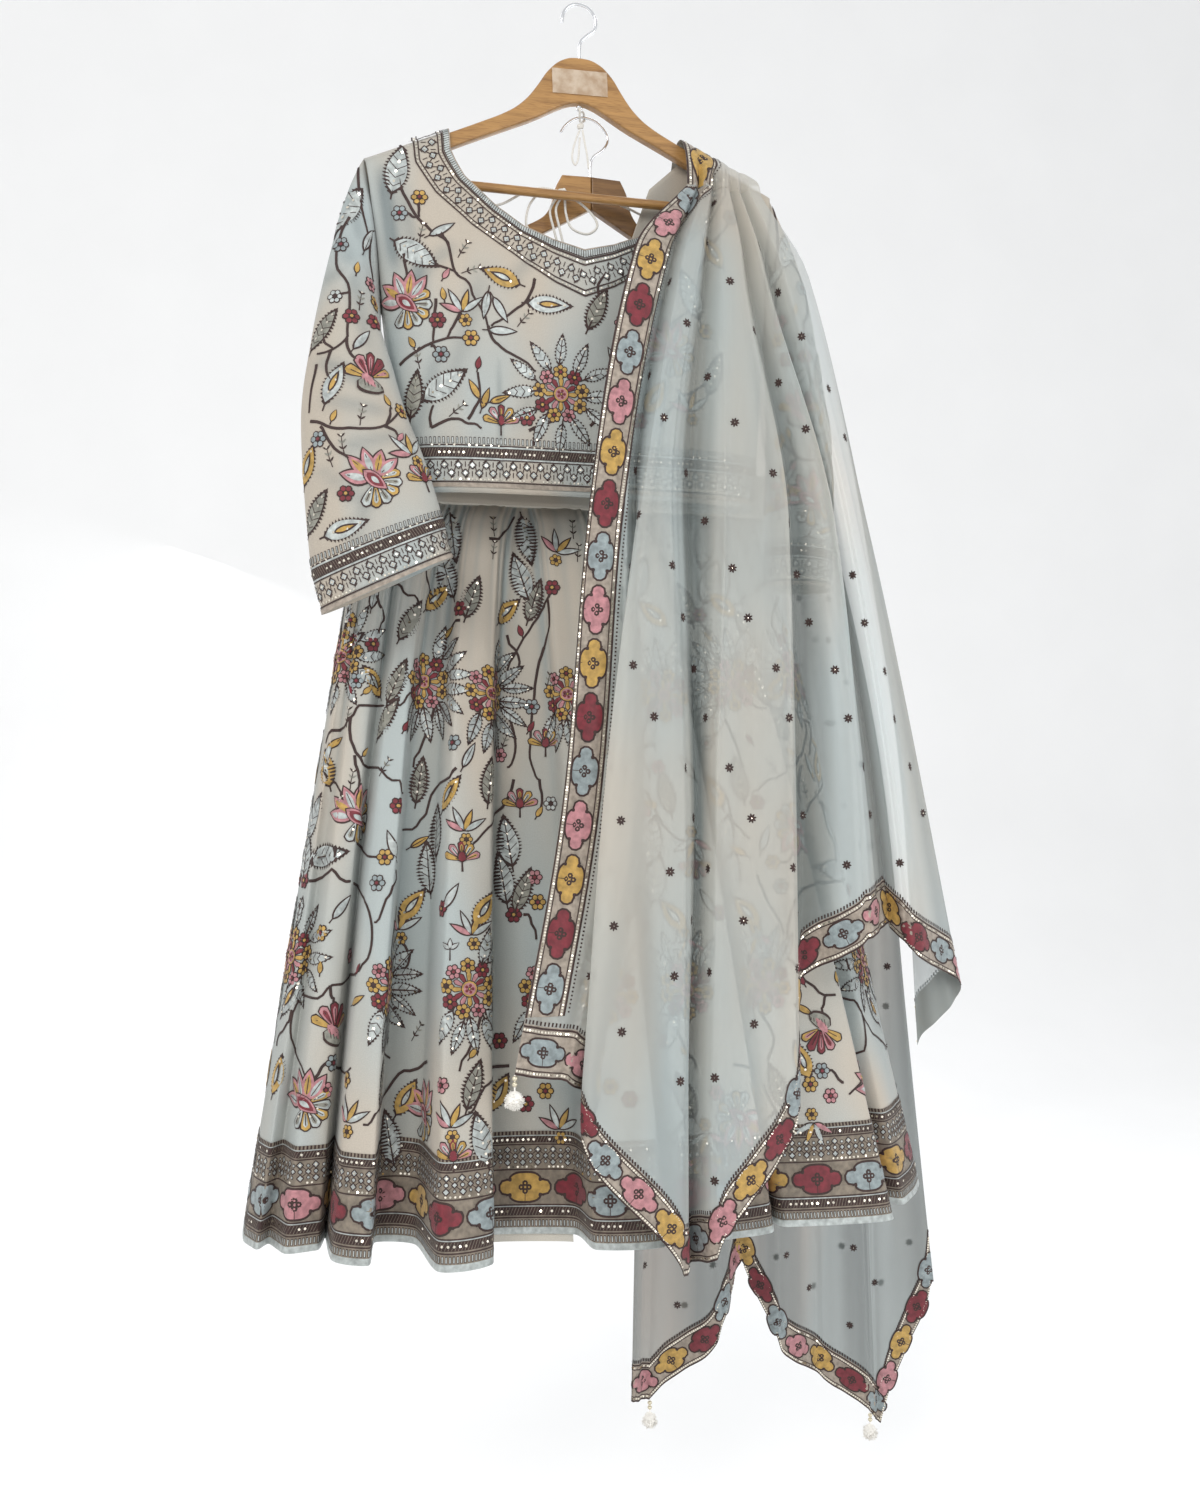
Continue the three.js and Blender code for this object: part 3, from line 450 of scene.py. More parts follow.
for label, x in (("left", -142), ("right", 184)):
    free_cord(f"waist_loop_{label}", [(x, 31.8, -520.4), (x, 27, -420), (x, 22.2, -316), (x, 21.8, -290),
                                      (x, 24, -284), (x, 30, -282), (x, 36, -284), (x, 38.6, -292),
                                      (x, 42, -316), (x, 66, -420), (x, 88, -520.4)],
              1.2, [f"skirt_loop_{label}"])


def knot(name, centre, radius, height, node_name):
    """A small tied knot: a cord wound round its own axis, with a slanting turn over it."""
    t = np.linspace(0, 1, 60)
    a = t * 2 * math.pi * 3.0
    r = radius * (0.62 + 0.25 * np.sin(t * math.pi))
    path = np.stack([centre[0] + r * np.cos(a), centre[1] + 0.8 * r * np.sin(a),
                     centre[2] + height * (0.4 - 0.8 * t) + 0.6 * np.cos(a)], axis=1)
    return wire(name, path, radius * 0.36, "cord", "cord", [node_name], 2)[0]


knot("tie_knot", (-18, TIE_Y, -211.8), 4.6, 9.0, "dori_knot")
knot("carry_knot", (4.2, 10.4, -132.9), 3.4, 6.0, "hang_knot")

wire("front_hook", [(-20.5, 0, -21), (-18.5, 0, -10), (-11, 0, -1), (0, 0, 2), (12, 0, -2), (19, 0, -12),
                    (18, 0, -25), (8, 0, -34), (1, 0, -43), (0, 0, -61.6)], 2.0, "chrome", "chrome",
     ["front_hanger_hook"])
wire("rear_hook", [(-15, 30, -134), (-9, 30, -125), (2, 30, -116), (14, 30, -113.5), (28, 30, -117),
                   (39, 30, -127), (42, 30, -138), (36, 30, -149), (25, 30, -158), (21, 30, -168),
                   (21, 30, -183.5)], 1.7, "chrome", "chrome", ["rear_hanger_hook"])
eye_turn = np.linspace(0, 2 * math.pi, 25)
wire("eye", np.stack([3 * np.sin(eye_turn), 0 * eye_turn, -117.7 + 3 * np.cos(eye_turn)], axis=1), 0.9,
     "chrome", "chrome", ["hanger_eye"], 2)

# ---------- hangers ----------

ARM_TOP = [(0, -62), (14, -63.5), (27, -70), (39, -82), (49, -97), (61, -113), (75, -126), (93, -137),
           (118, -149), (145, -161.5), (190, -181.5), (219, -194.5)]
ARM_END = [(226, -203), (226, -216), (219, -229), (200, -229), (200, -209), (143, -178), (60, -140)]
REAR_HALF = [(0.15, -184), (35, -185), (43, -201), (48, -221), (58, -236), (80, -249), (120, -267),
             (160, -286), (184, -300), (190, -310), (182, -319), (150, -304), (90, -273), (40, -245),
             (0.15, -222)]


def board(name, outline, y0, y1, soft, mat, slot, nodes, straight=()):
    """A board cut to a smooth outline, with rounded edges. Straight names outline points kept as corners."""
    p = np.asarray(outline, float)
    n = len(p)
    ring = []
    for i in range(n):
        a, b, c, d = p[(i - 1) % n], p[i], p[(i + 1) % n], p[(i + 2) % n]
        if i in straight or (i + 1) % n in straight:
            a, d = (b, d) if i in straight else (a, c)
            if i in straight and (i + 1) % n in straight:
                d = c
        for f in np.arange(6) / 6:
            ring.append(hermite(a, b, c, d, f, 0.42))
    ring = np.array(ring)
    turn = np.sum(ring[:, 0] * np.roll(ring[:, 1], -1) - np.roll(ring[:, 0], -1) * ring[:, 1])
    if turn < 0:
        ring = ring[::-1]
    edge = unit(np.roll(ring, -1, 0) - np.roll(ring, 1, 0))
    out = np.stack([edge[:, 1], -edge[:, 0]], axis=1)
    rings = []
    for k, (y, way) in enumerate([(y0, 1), (y1, -1)]):
        steps = np.linspace(0, math.pi / 2, 5)
        for a in (steps if k == 0 else steps[::-1]):
            flat = ring - out * soft * (1 - math.sin(a))
            rings.append(np.stack([flat[:, 0], np.full(len(flat), y + way * soft * (1 - math.cos(a))),
                                   flat[:, 1]], axis=1))
    count = len(ring)
    verts = np.concatenate(rings)
    mesh = bpy.data.meshes.new(name)
    faces = []
    for r in range(len(rings) - 1):
        for i in range(count):
            j = (i + 1) % count
            faces.append((r * count + i, r * count + j, (r + 1) * count + j, (r + 1) * count + i))
    faces.append(tuple(range(count))[::-1])
    faces.append(tuple(range((len(rings) - 1) * count, len(rings) * count)))
    mesh.from_pydata([tuple(v) for v in verts * MM], [], faces)
    mesh.materials.append(MATS[mat])
    for poly in mesh.polygons:
        poly.use_smooth = len(poly.vertices) == 4
    mesh.update()
    return finish_piece(link(bpy.data.objects.new(name, mesh)), slot, *nodes)


front_outline = [(-x, z) for x, z in ARM_TOP[::-1]] + ARM_TOP[1:] + ARM_END + [(0, -113)]
front_outline += [(-x, z) for x, z in ARM_END[::-1]]
board("front_hanger", front_outline, -7, 7, 2.5, "wood", "wood", ["front_hanger_body"])
board("rear_arm_right", [(21 + x, z) for x, z in REAR_HALF], 24, 36, 2.0, "wood_dark", "wood_dark",
      ["rear_hanger_right"], straight=(0, 1, 14))
board("rear_arm_left", [(21 - x, z) for x, z in REAR_HALF[::-1]], 24, 36, 2.0, "wood", "wood",
      ["rear_hanger_left"], straight=(0, 13, 14))
wire("front_bar", [(-199.6, 0, -219), (0, 0, -219), (199.6, 0, -219)], 5.2, "wood", "wood",
     ["front_hanger_bar"])

TAPE = [(-34, -78), (31, -76), (32, -104), (-33, -106)]
ti, tj = np.meshgrid(np.linspace(0, 1, 40), np.linspace(0, 1, 20), indexing="ij")
corners = np.array(TAPE, float)
flat = (corners[3] * ((1 - ti) * (1 - tj))[..., None] + corners[2] * (ti * (1 - tj))[..., None]
        + corners[1] * (ti * tj)[..., None] + corners[0] * ((1 - ti) * tj)[..., None])
lift = -7.6 - 0.5 * np.abs(np.sin(9 * ti + 4 * tj) * np.sin(5 * tj + 2 * ti)) - 0.25 * np.sin(21 * ti - 9 * tj) ** 2
tape_points = np.stack([flat[..., 0], lift, flat[..., 1]], axis=-1).reshape(-1, 3)
finish_piece(make_mesh("tape", tape_points, grid_faces(40, 20), uv=tape_points[:, [0, 2]], mats=[MATS["tape"]]),
             "tape", "hanger_tape")

# ---------- cloth surfaces ----------

SKIRT_FOLDS = np.array([
    (-241, 56, -374, 0), (-236, 44, -362, -32), (-226, 40, -348, -18), (-222, 35, -333, -52),
    (-205, 34, -300, -52), (-192, 38, -288, -14), (-176, 33, -286, -86), (-158, 33, -252, -112),
    (-142, 38, -238, -44), (-124, 37, -196, -62), (-110, 33, -184, -148), (-82, 33, -128, -140),
    (-66, 38, -112, -54), (-50, 38, -24, -76), (-38, 33, -12, -128), (6, 32, 58, -138),
    (20, 38, 80, -70), (32, 33, 92, -130), (78, 32, 186, -126), (92, 38, 200, -66),
    (104, 33, 210, -112), (164, 33, 332, -122), (178, 38, 344, -56), (192, 35, 372, -74),
    (226, 40, 408, -36), (249, 56, 431, 6), (246, 74, 424, 58), (226, 84, 392, 60),
    (200, 88, 352, 112), (170, 84, 300, 80), (135, 88, 246, 115), (100, 84, 184, 82),
    (65, 88, 124, 116), (30, 84, 64, 84), (0, 88, 8, 116), (-35, 84, -52, 84),
    (-70, 88, -112, 116), (-105, 84, -172, 82), (-140, 88, -230, 114), (-175, 84, -284, 78),
    (-205, 88, -324, 104), (-226, 82, -352, 52), (-240, 72, -372, 50)], float)
WAIST_Z, SKIRT_HEM_Z = -571.0, -1385.0
FOLDS = len(SKIRT_FOLDS)
SIDE_FOLD = 25.0                                 # where the front ends and the back starts


def skirt_point(c, z):
    """Round the skirt: c counts the folds, z is the height."""
    t = np.clip((WAIST_Z - z) / (WAIST_Z - SKIRT_HEM_Z), 0, 1.02)
    i = np.floor(c).astype(int)
    spots = []
    for k in (-1, 0, 1, 2):
        row = SKIRT_FOLDS[(i + k) % FOLDS]
        wide = np.abs(row[:, 0]) / 245
        power = lerp(np.where(row[:, 0] < 0, 0.48, 0.62), 1.0, np.minimum(1.0, wide * wide))
        spots.append(np.stack([lerp(row[:, 0], row[:, 2], t ** power), lerp(row[:, 1], row[:, 3], t)], axis=1))
    xy = hermite(*spots, (c - i)[:, None], 0.32)
    side = np.where(c < SIDE_FOLD + 0.5, -1.0, 1.0)
    soft = 1.5 * np.sin(c * 5.1 + z / 170.0) * np.sin(z / 95.0 + c) * ease((WAIST_Z - z) / 160.0)
    gathers = np.sin(c * 4 * math.pi) * (1.0 + 0.6 * np.sin(c * 1.7)) * ease((z + 850) / 260.0)
    return np.stack([xy[:, 0], xy[:, 1] + side * (soft + gathers), z], axis=1)


def pchip(xs, ys, key):
    """For a smooth reading of rows ys at keys without overshoot: the rows, their slopes, and each key's stretch with
    its length and the share of it gone."""
    xs, ys = np.asarray(xs, float), np.atleast_2d(np.asarray(ys, float))
    h = np.diff(xs)
    d = np.diff(ys, axis=1) / h
    m = np.zeros_like(ys)
    same = d[:, :-1] * d[:, 1:] > 0
    safe = np.where(same, d[:, :-1] + d[:, 1:], 1.0)
    m[:, 1:-1] = np.where(same, 2 * d[:, :-1] * d[:, 1:] / safe, 0.0)
    m[:, 0], m[:, -1] = d[:, 0], d[:, -1]
    i = np.clip(np.searchsorted(xs, key, side="right") - 1, 0, len(xs) - 2)
    return ys, m, i, h[i], (key - xs[i]) / h[i]


def smooth_read(rows, key):
    """A table's second column read at a key in its first, by a smooth curve that doesn't overshoot."""
    rows = np.asarray(rows, float)
    key = np.clip(np.asarray(key, float), rows[0, 0], rows[-1, 0])
    (y,), (m,), i, h, f = pchip(rows[:, 0], rows[:, 1], key)
    return cubic(y[i], y[i + 1], h * m[i], h * m[i + 1], np.clip(f, 0, 1))


HALF_LEFT = [(-574, 211), (-420, 221), (-370, 226), (-300, 232), (-240, 240), (-200, 246)]
HALF_RIGHT = [(-574, 211), (-420, 221), (-370, 224), (-300, 224), (-240, 227), (-200, 230)]
FRONT_DEPTH = [(0, 0.3), (1.5, 7.5), (6, 11), (14, 13), (40, 17), (80, 27), (130, 40), (200, 52), (300, 56),
               (420, 53)]
BACK_DEPTH = [(0, 0.3), (1.5, 7.5), (6, 11), (14, 13), (40, 14), (80, 16), (200, 18), (420, 18)]
SIDE_DEPTH = [(-380, 0.2), (-335, 9), (-230, 11), (-200, 9)]
NECK = [(0, -298), (0.15, -289), (0.29, -275), (0.41, -253), (0.54, -218), (0.597, -186)]
NECK_LOW = [(0, -352), (0.15, -338), (0.29, -319), (0.41, -300), (0.54, -277), (0.6, -262), (0.69, -240),
            (0.765, -206)]
BACK_NECK_LEFT = [(0, -305), (0.15, -300), (0.29, -288), (0.41, -262), (0.54, -196), (0.597, -164)]
BACK_NECK_RIGHT = [(0, -305), (0.15, -300), (0.29, -282), (0.41, -196), (0.54, -168), (0.597, -160)]
BLOUSE_HEM_Z, BLOUSE_TOP_Z, TRIM_Z = -574.0, -158.0, -568.0

# Soft creases of the blouse front and the sleeves: ends x, z and x, z, then depth and half width.
CREASES = [
    (-226, -215, -214, -330, 5.0, 9), (-206, -235, -186, -360, 2.2, 9), (-120, -330, -160, -470, 1.8, 12),
    (-96, -350, -60, -300, 1.4, 9), (-150, -300, -205, -350, 2.0, 9), (-104, -430, -100, -560, 2.2, 3),
    (60, -340, 110, -430, 1.6, 12), (-40, -420, -84, -500, 1.4, 9), (150, -240, 120, -380, 2.0, 12),
    (20, -380, 44, -500, 1.3, 10), (-170, -420, -196, -520, 2.0, 9), (-250, -330, -296, -350, -2.4, 8),
    (-240, -470, -300, -440, 3.2, 9), (-225, -500, -296, -486, -2.4, 9), (-206, -520, -280, -540, 2.4, 9),
    (-268, -300, -244, -430, 2.6, 10), (-300, -560, -250, -600, 2.0, 9), (-236, -560, -270, -650, 2.0, 9),
    (-262, -240, -250, -300, 2.4, 7), (250, -300, 290, -400, 2.6, 10), (236, -470, 290, -440, 2.6, 9),
]


def crease(x, z):
    """How deep the soft creases are at a place."""
    total = np.zeros_like(x)
    for x0, z0, x1, z1, depth, width in CREASES:
        dx, dz = x1 - x0, z1 - z0
        t = ((x - x0) * dx + (z - z0) * dz) / (dx * dx + dz * dz)
        near = np.clip(t, 0, 1)
        gap = np.hypot(x - x0 - near * dx, z - z0 - near * dz)
        total += depth * np.exp(-(gap / width) ** 2) * ease(1.6 - 2.4 * np.abs(t - 0.5))
    return total


def half_width(u, z):
    return np.where(u < 0, smooth_read(HALF_LEFT, z), smooth_read(HALF_RIGHT, z))


def shoulder_z(x):
    return -157 - 0.445 * (np.abs(x) - 145)


def body_point(side, u, z):
    """The blouse's front (side -1) or back (1): u runs from -1 to 1 across it, z is the height."""
    x = u * half_width(u, z) - 7 * (1 - u * u)
    below = np.maximum(0, shoulder_z(x) - z)
    deep = smooth_read(FRONT_DEPTH if side < 0 else BACK_DEPTH, below)
    edge = np.minimum(smooth_read(SIDE_DEPTH, z), deep)
    rounded = edge + (deep - edge) * np.sqrt(np.maximum(0, 1 - np.minimum(1, np.abs(u)) ** 4))
    depth = lerp(deep, rounded, ease((below - 8) / 52))
    fade = ease(below / 30) * ease((1 - np.abs(u)) * 12)
    return np.stack([x, side * (depth - fade * crease(x, z) * (0.8 if side < 0 else 0.6)), z], axis=1)


def shoulder_at(u):
    return shoulder_z(u * half_width(u, np.full_like(u, -200.0)) - 7 * (1 - u * u))


def front_top(u):
    return np.where(np.abs(u) >= 0.6, shoulder_at(u), read(NECK, np.abs(u)))


def back_top(u):
    low = np.where(u < 0, read(BACK_NECK_LEFT, np.abs(u)), read(BACK_NECK_RIGHT, np.abs(u)))
    return np.where(np.abs(u) >= 0.6, shoulder_at(u), low)


SLEEVE_LEFT = [(0.00, -247, 0, -203, -227, 0, -371, 11), (0.12, -262, -2, -238, -227, -10, -398, 17),
               (0.30, -282, -8, -310, -217, -30, -440, 25), (0.50, -303, -20, -410, -205, -46, -490, 31),
               (0.70, -315, -34, -508, -190, -62, -535, 34), (0.91, -307, -50, -650, -172, -76, -598, 35),
               (1.00, -294, -57, -712, -160, -82, -650, 35)]
SLEEVE_RIGHT = [(0.00, -231, 0, -196, -225, 0, -371, 11), (0.12, -250, -2, -236, -228, -2, -398, 18),
                (0.30, -276, -6, -310, -228, -8, -440, 29), (0.50, -290, -14, -410, -226, -18, -490, 38),
                (0.70, -300, -20, -505, -224, -24, -540, 43), (0.91, -299, -24, -612, -222, -28, -607, 44),
                (1.00, -296, -24, -668, -222, -28, -664, 44)]


def sleeve_point(table, mirror, turn, s):
    """A sleeve: turn goes round it, s from the shoulder to the cuff. The rows of its table are s, the outer and the
    inner edge of the section (x, y, z each) and half its thickness."""
    rows = np.array(table)
    s = np.clip(s, 0, 1)
    v = [smooth_read(rows[:, [0, k]], s) for k in range(1, 8)]
    outer, inner = np.stack(v[0:3], axis=1), np.stack(v[3:6], axis=1)
    middle = (outer + inner) / 2
    long = outer - middle
    front = np.array([0.0, -1.0, 0.0]) - long * (-long[:, 1:2] / np.sum(long * long, axis=1, keepdims=True))
    front = unit(front)
    a = -turn * mirror
    p = middle + long * np.cos(a)[:, None] + front * (v[6] * np.sin(a))[:, None]
    wall_x = -(smooth_read(HALF_LEFT if mirror > 0 else HALF_RIGHT, p[:, 2]) + 0.5)
    near = lerp(np.minimum(wall_x, p[:, 0]), p[:, 0], ease(s / 0.12))
    p[:, 0] = np.where(s <= 1e-6, wall_x, np.where(s < 0.12, near, p[:, 0]))
    facing = np.sin(a)
    inward = crease(p[:, 0] * (1 if mirror > 0 else -1), p[:, 2]) * ease(s / 0.15) * np.abs(facing) ** 0.6
    p[:, 1] += np.sign(facing) * np.minimum(inward, 0.3 * v[6])
    p[:, 0] *= mirror
    return p


LEVELS = [205, 300, 600, 900, 1200]
FRONT_FALL = np.array([
    (120, -34, 43, -80, -20, -118, -51, -134, -115, -176, -1183),
    (130, -34, 80, -82, 20, -118, 14, -130, -58, -172, -1194),
    (136, -27, 92, -66, 40, -94, 46, -104, -12, -136, -1226),
    (141, -38, 98, -90, 34, -130, -14, -164, -41, -182, -1258),
    (148, -38, 118, -90, 71, -130, 72, -160, 66, -182, -1402),
    (154, -28, 131, -66, 101, -98, 104, -112, 86, -134, -1408),
    (160, -38, 141, -88, 132, -128, 114, -154, 104, -180, -1388),
    (168, -38, 165, -88, 202, -126, 198, -152, 194, -176, -1254),
    (174, -28, 178, -66, 222, -98, 228, -106, 219, -124, -1112),
    (180, -38, 189, -86, 262, -122, 282, -142, 300, -152, -1064),
    (187, -28, 204, -62, 270, -92, 318, -100, 352, -108, -1052),
    (193, -38, 216, -80, 284, -114, 334, -128, 372, -132, -1084),
    (208, -32, 252, -58, 326, -76, 390, -86, 452, -88, -1130),
    (214, -22, 266, -42, 334, -50, 378, -58, 396, -62, -1204)], float)
REAR_FALL = np.array([
    (120, 34, 120, 58, 116, 112, 114, 128, 113, 142, -1692),
    (134, 34, 138, 68, 144, 124, 144, 144, 143, 160, -1702),
    (147, 38, 164, 58, 190, 112, 206, 128, 214, 140, -1624),
    (158, 34, 182, 68, 214, 126, 236, 148, 250, 164, -1520),
    (170, 38, 202, 58, 250, 112, 288, 130, 300, 144, -1650),
    (181, 34, 222, 68, 296, 126, 344, 146, 361, 164, -1706),
    (191, 38, 240, 58, 328, 112, 392, 132, 412, 146, -1748),
    (200, 34, 254, 68, 352, 124, 418, 144, 436, 158, -1772),
    (208, 34, 266, 58, 374, 112, 446, 128, 486, 142, -1556)], float)


FRONT_LAST, REAR_LAST = 13, 8                    # the last folds of the two falls
FRONT_LOW, REAR_LOW = -1408.0, -1772.0           # their lowest points


def fall_point(table, c, z):
    """A fall of the scarf: c counts its folds, z is the height."""
    drop = np.minimum(-z, 1200.0) if table is FRONT_FALL else -z
    n = len(table)
    i = np.clip(np.floor(c).astype(int), 0, n - 2)
    coords = []
    for start in (0, 1):
        ys, m, k, h, f = pchip(LEVELS, table[:, start:10:2], drop)
        spots = []
        for step in (-1, 0, 1, 2):
            r = np.clip(i + step, 0, n - 1)
            past = np.maximum(f - 1, 0) * h * m[r, -1] + np.minimum(f, 0) * h * m[r, 0]
            spots.append(cubic(ys[r, k], ys[r, k + 1], h * m[r, k], h * m[r, k + 1], np.clip(f, 0, 1)) + past)
        coords.append(hermite(*spots, c - i, 0.3))
    grow = ease((-z - 260) / 380)
    soft = (1.7 * np.sin(c * 9.4 + 0.8 * np.sin(-z / 190.0)) + 0.8 * np.sin(c * 21.0 - z / 130.0)) * grow
    return np.stack([coords[0], coords[1] + soft, z], axis=1)


def hem_at(table, c):
    """Height of a fall's lower edge."""
    return np.interp(c, np.arange(len(table)), table[:, 10])


FALL_TOP = -206.0


def saddle_point(c, a):
    """The stretch over the shoulder: c counts the front fall's folds, a goes from its front (0) to its rear (pi)."""
    top = np.full_like(c, FALL_TOP)
    front, rear = fall_point(FRONT_FALL, c, top), fall_point(REAR_FALL, c * REAR_LAST / FRONT_LAST, top)
    x = lerp(front[:, 0], rear[:, 0], a / math.pi)
    inward = FRONT_LAST - c
    lift = (3.2 + 0.9 * np.sin(c / FRONT_LAST * math.pi * 5)) * (0.35 + 0.65 * ease(inward / 2.5))
    reach = np.where(a < math.pi / 2, front[:, 1], -rear[:, 1])
    reach = lerp(reach, -31.0, 0.75 * ease(1.6 * np.sin(a)) * ease(inward / 2.0))
    z = lerp(FALL_TOP + 0.3, shoulder_z(x) + lift, np.abs(np.sin(a)) ** 0.7)
    return np.stack([x, reach * np.cos(a), z], axis=1)


# ---------- draping stitched shapes onto cloth ----------

class Cloth:
    """A cloth surface fn(c, v), with arc lengths along c, so that flat shapes keep their size on it."""

    def __init__(self, fn, c0, c1, v0, v1, columns, levels, e_v=0.5):
        self.fn, self.e_c, self.e_v = fn, (c1 - c0) / columns * 0.5, e_v
        self.c = np.linspace(c0, c1, columns)
        self.v = np.linspace(v0, v1, levels)
        cc, vv = np.meshgrid(self.c, self.v)
        grid = fn(cc.ravel(), vv.ravel()).reshape(levels, columns, 3)
        steps = np.linalg.norm(np.diff(grid, axis=1), axis=2)
        self.arc = np.hstack([np.zeros((levels, 1)), np.cumsum(steps, axis=1)])
        self.px, self.py, self.depth = project(grid)

    def frame_at(self, c, v):
        """Point, unit normal, tangent along c and derivative along v."""
        p = self.fn(c, v)
        lo, hi = self.c[0], self.c[-1]
        ca, cb = np.clip(c - self.e_c, lo, hi), np.clip(c + self.e_c, lo, hi)
        dc = unit(self.fn(cb, v) - self.fn(ca, v))
        dv = (self.fn(c, v + self.e_v) - self.fn(c, v - self.e_v)) / (2 * self.e_v)
        return p, unit(np.cross(dc, unit(dv))), dc, dv

    def find(self, x, y):
        """Keys of the nearest cloth seen at a pixel."""
        gap = np.hypot(self.px - x, self.py - y)
        near = gap < max(3.0, gap.min() * 1.3)
        score = np.where(near, self.depth + gap * 2.0, np.inf)
        k, i = np.unravel_index(np.argmin(score), score.shape)
        return self.c[i], self.v[k]

    def shift(self, c, v, ds):
        """The c that lies ds millimetres of cloth further along, at height v."""
        f = np.clip((v - self.v[0]) / (self.v[1] - self.v[0]), 0, len(self.v) - 1.001)
        k = f.astype(int)
        t = f - k
        out = np.zeros_like(c)
        for row in np.unique(k):
            m = k == row
            both = []
            for r in (row, row + 1):
                s = np.interp(c[m], self.c, self.arc[r]) + ds[m]
                past = np.clip(s, 0, self.arc[r][-1])
                both.append(np.interp(past, self.arc[r], self.c))
            out[m] = lerp(both[0], both[1], t[m])
        return out


def strip_tris(n):
    """Triangles of a strip of three rows of n points, the middle one raised."""
    i = np.arange(n - 1)
    return np.concatenate([t for a in (i, i + n) for t in (np.stack([a, a + 1, a + n + 1], axis=1),
                                                           np.stack([a, a + n + 1, a + n], axis=1))])


class Motif:
    """A flat stitched shape in millimetres: points, lift over the cloth, thread direction and triangles."""

    def __init__(self):
        self.xy, self.lift, self.uv, self.tris, self.mat = [], [], [], [], []
        self.count = 0

    def add(self, xy, lift, uv, tris, mat):
        self.xy.append(np.asarray(xy, float))
        self.lift.append(np.broadcast_to(np.asarray(lift, float), (len(xy),)).copy())
        self.uv.append(np.asarray(uv, float))
        self.tris.append(np.asarray(tris, int) + self.count)
        self.mat.append(np.full(len(tris), THREADS.index(mat)))
        self.count += len(xy)

    def ribbon(self, line, half, mat, lift, crown=0.35):
        """A raised strip along a line, with half widths at its points."""
        line = np.asarray(line, float)
        half = np.broadcast_to(np.asarray(half, float), (len(line),))
        along = unit(np.gradient(line, axis=0))
        side = np.stack([-along[:, 1], along[:, 0]], axis=1)
        xy = np.concatenate([line - side * half[:, None], line, line + side * half[:, None]])
        lifts = np.concatenate([np.full(len(line), lift), np.full(len(line), lift + crown),
                                np.full(len(line), lift)])
        uv = np.concatenate([np.stack([run_of(line), w * half], axis=1) for w in (-1, 0, 1)])
        self.add(xy, lifts, uv, strip_tris(len(line)), mat)

    def blade(self, base, angle, length, width, mat, lift=0.3, steps=7, shape="leaf", bend=0.0, teeth=0,
              bite=0.25, crown=0.5):
        """A leaf, petal or drop: a strip that is narrow at one or both ends."""
        t = np.linspace(0, 1, steps)
        if shape == "leaf":
            wide = np.sin(math.pi * t ** 0.8) ** 0.85
        elif shape == "petal":
            wide = np.sqrt(np.maximum(0, 1 - (1.55 * (t - 0.62)) ** 2)) * (0.35 + 0.65 * t) * 1.05
            wide[0], wide[-1] = 0.12, 0.25
        else:
            wide = np.sqrt(np.maximum(0, t * (1 - t))) * 2 * (1.1 - 0.3 * t)
        if teeth:
            wide = wide * (1 - bite * (np.arange(steps) % 2))
        turn = angle + bend * (t - 0.5)
        steps_xy = np.stack([np.cos(turn), np.sin(turn)], axis=1) * (length / (steps - 1))
        line = np.vstack([[0, 0], np.cumsum(steps_xy[:-1], axis=0)]) + np.asarray(base, float)
        self.ribbon(line, np.maximum(wide * width / 2, 0.15), mat, lift, crown)
        return line

    def dot(self, at, radius, mat, lift=0.6, sides=7, dome=0.5, tilt=0.0):
        a = np.arange(sides) / sides * 2 * math.pi
        ring = np.stack([np.cos(a), np.sin(a)], axis=1) * radius + np.asarray(at, float)
        xy = np.vstack([[at], ring])
        lifts = np.r_[lift + dome, lift + tilt * np.cos(a + 0.7)]
        k = np.arange(sides)
        tris = np.stack([np.zeros(sides, int), 1 + k, 1 + (k + 1) % sides], axis=1)
        self.add(xy, lifts, (xy - np.asarray(at, float)), tris, mat)

    def spangle(self, at, radius=1.5, lift=1.2):
        """One sequin, tipped a little to one side."""
        self.dot(at, radius, "sequin", lift, 6, 0.0, RNG.uniform(0.15, 0.5))

    def put(self, other, at, angle=0.0, scale=1.0, flip=False):
        xy = np.concatenate(other.xy) * scale
        tris = np.concatenate(other.tris)
        if flip:
            xy, tris = xy * [-1, 1], tris[:, ::-1]
        ca, sa = polar(1.0, angle)
        turned = np.stack([xy[:, 0] * ca - xy[:, 1] * sa, xy[:, 0] * sa + xy[:, 1] * ca], axis=1)
        self.xy.append(turned + np.asarray(at, float))
        self.lift.append(np.concatenate(other.lift))
        self.uv.append(np.concatenate(other.uv) * scale)
        self.tris.append(tris + self.count)
        self.mat.append(np.concatenate(other.mat))
        self.count += len(xy)


THREADS = ["brown", "maroon", "pink", "yellow", "blue", "grey", "silver", "sequin", "taupe", "umber"]


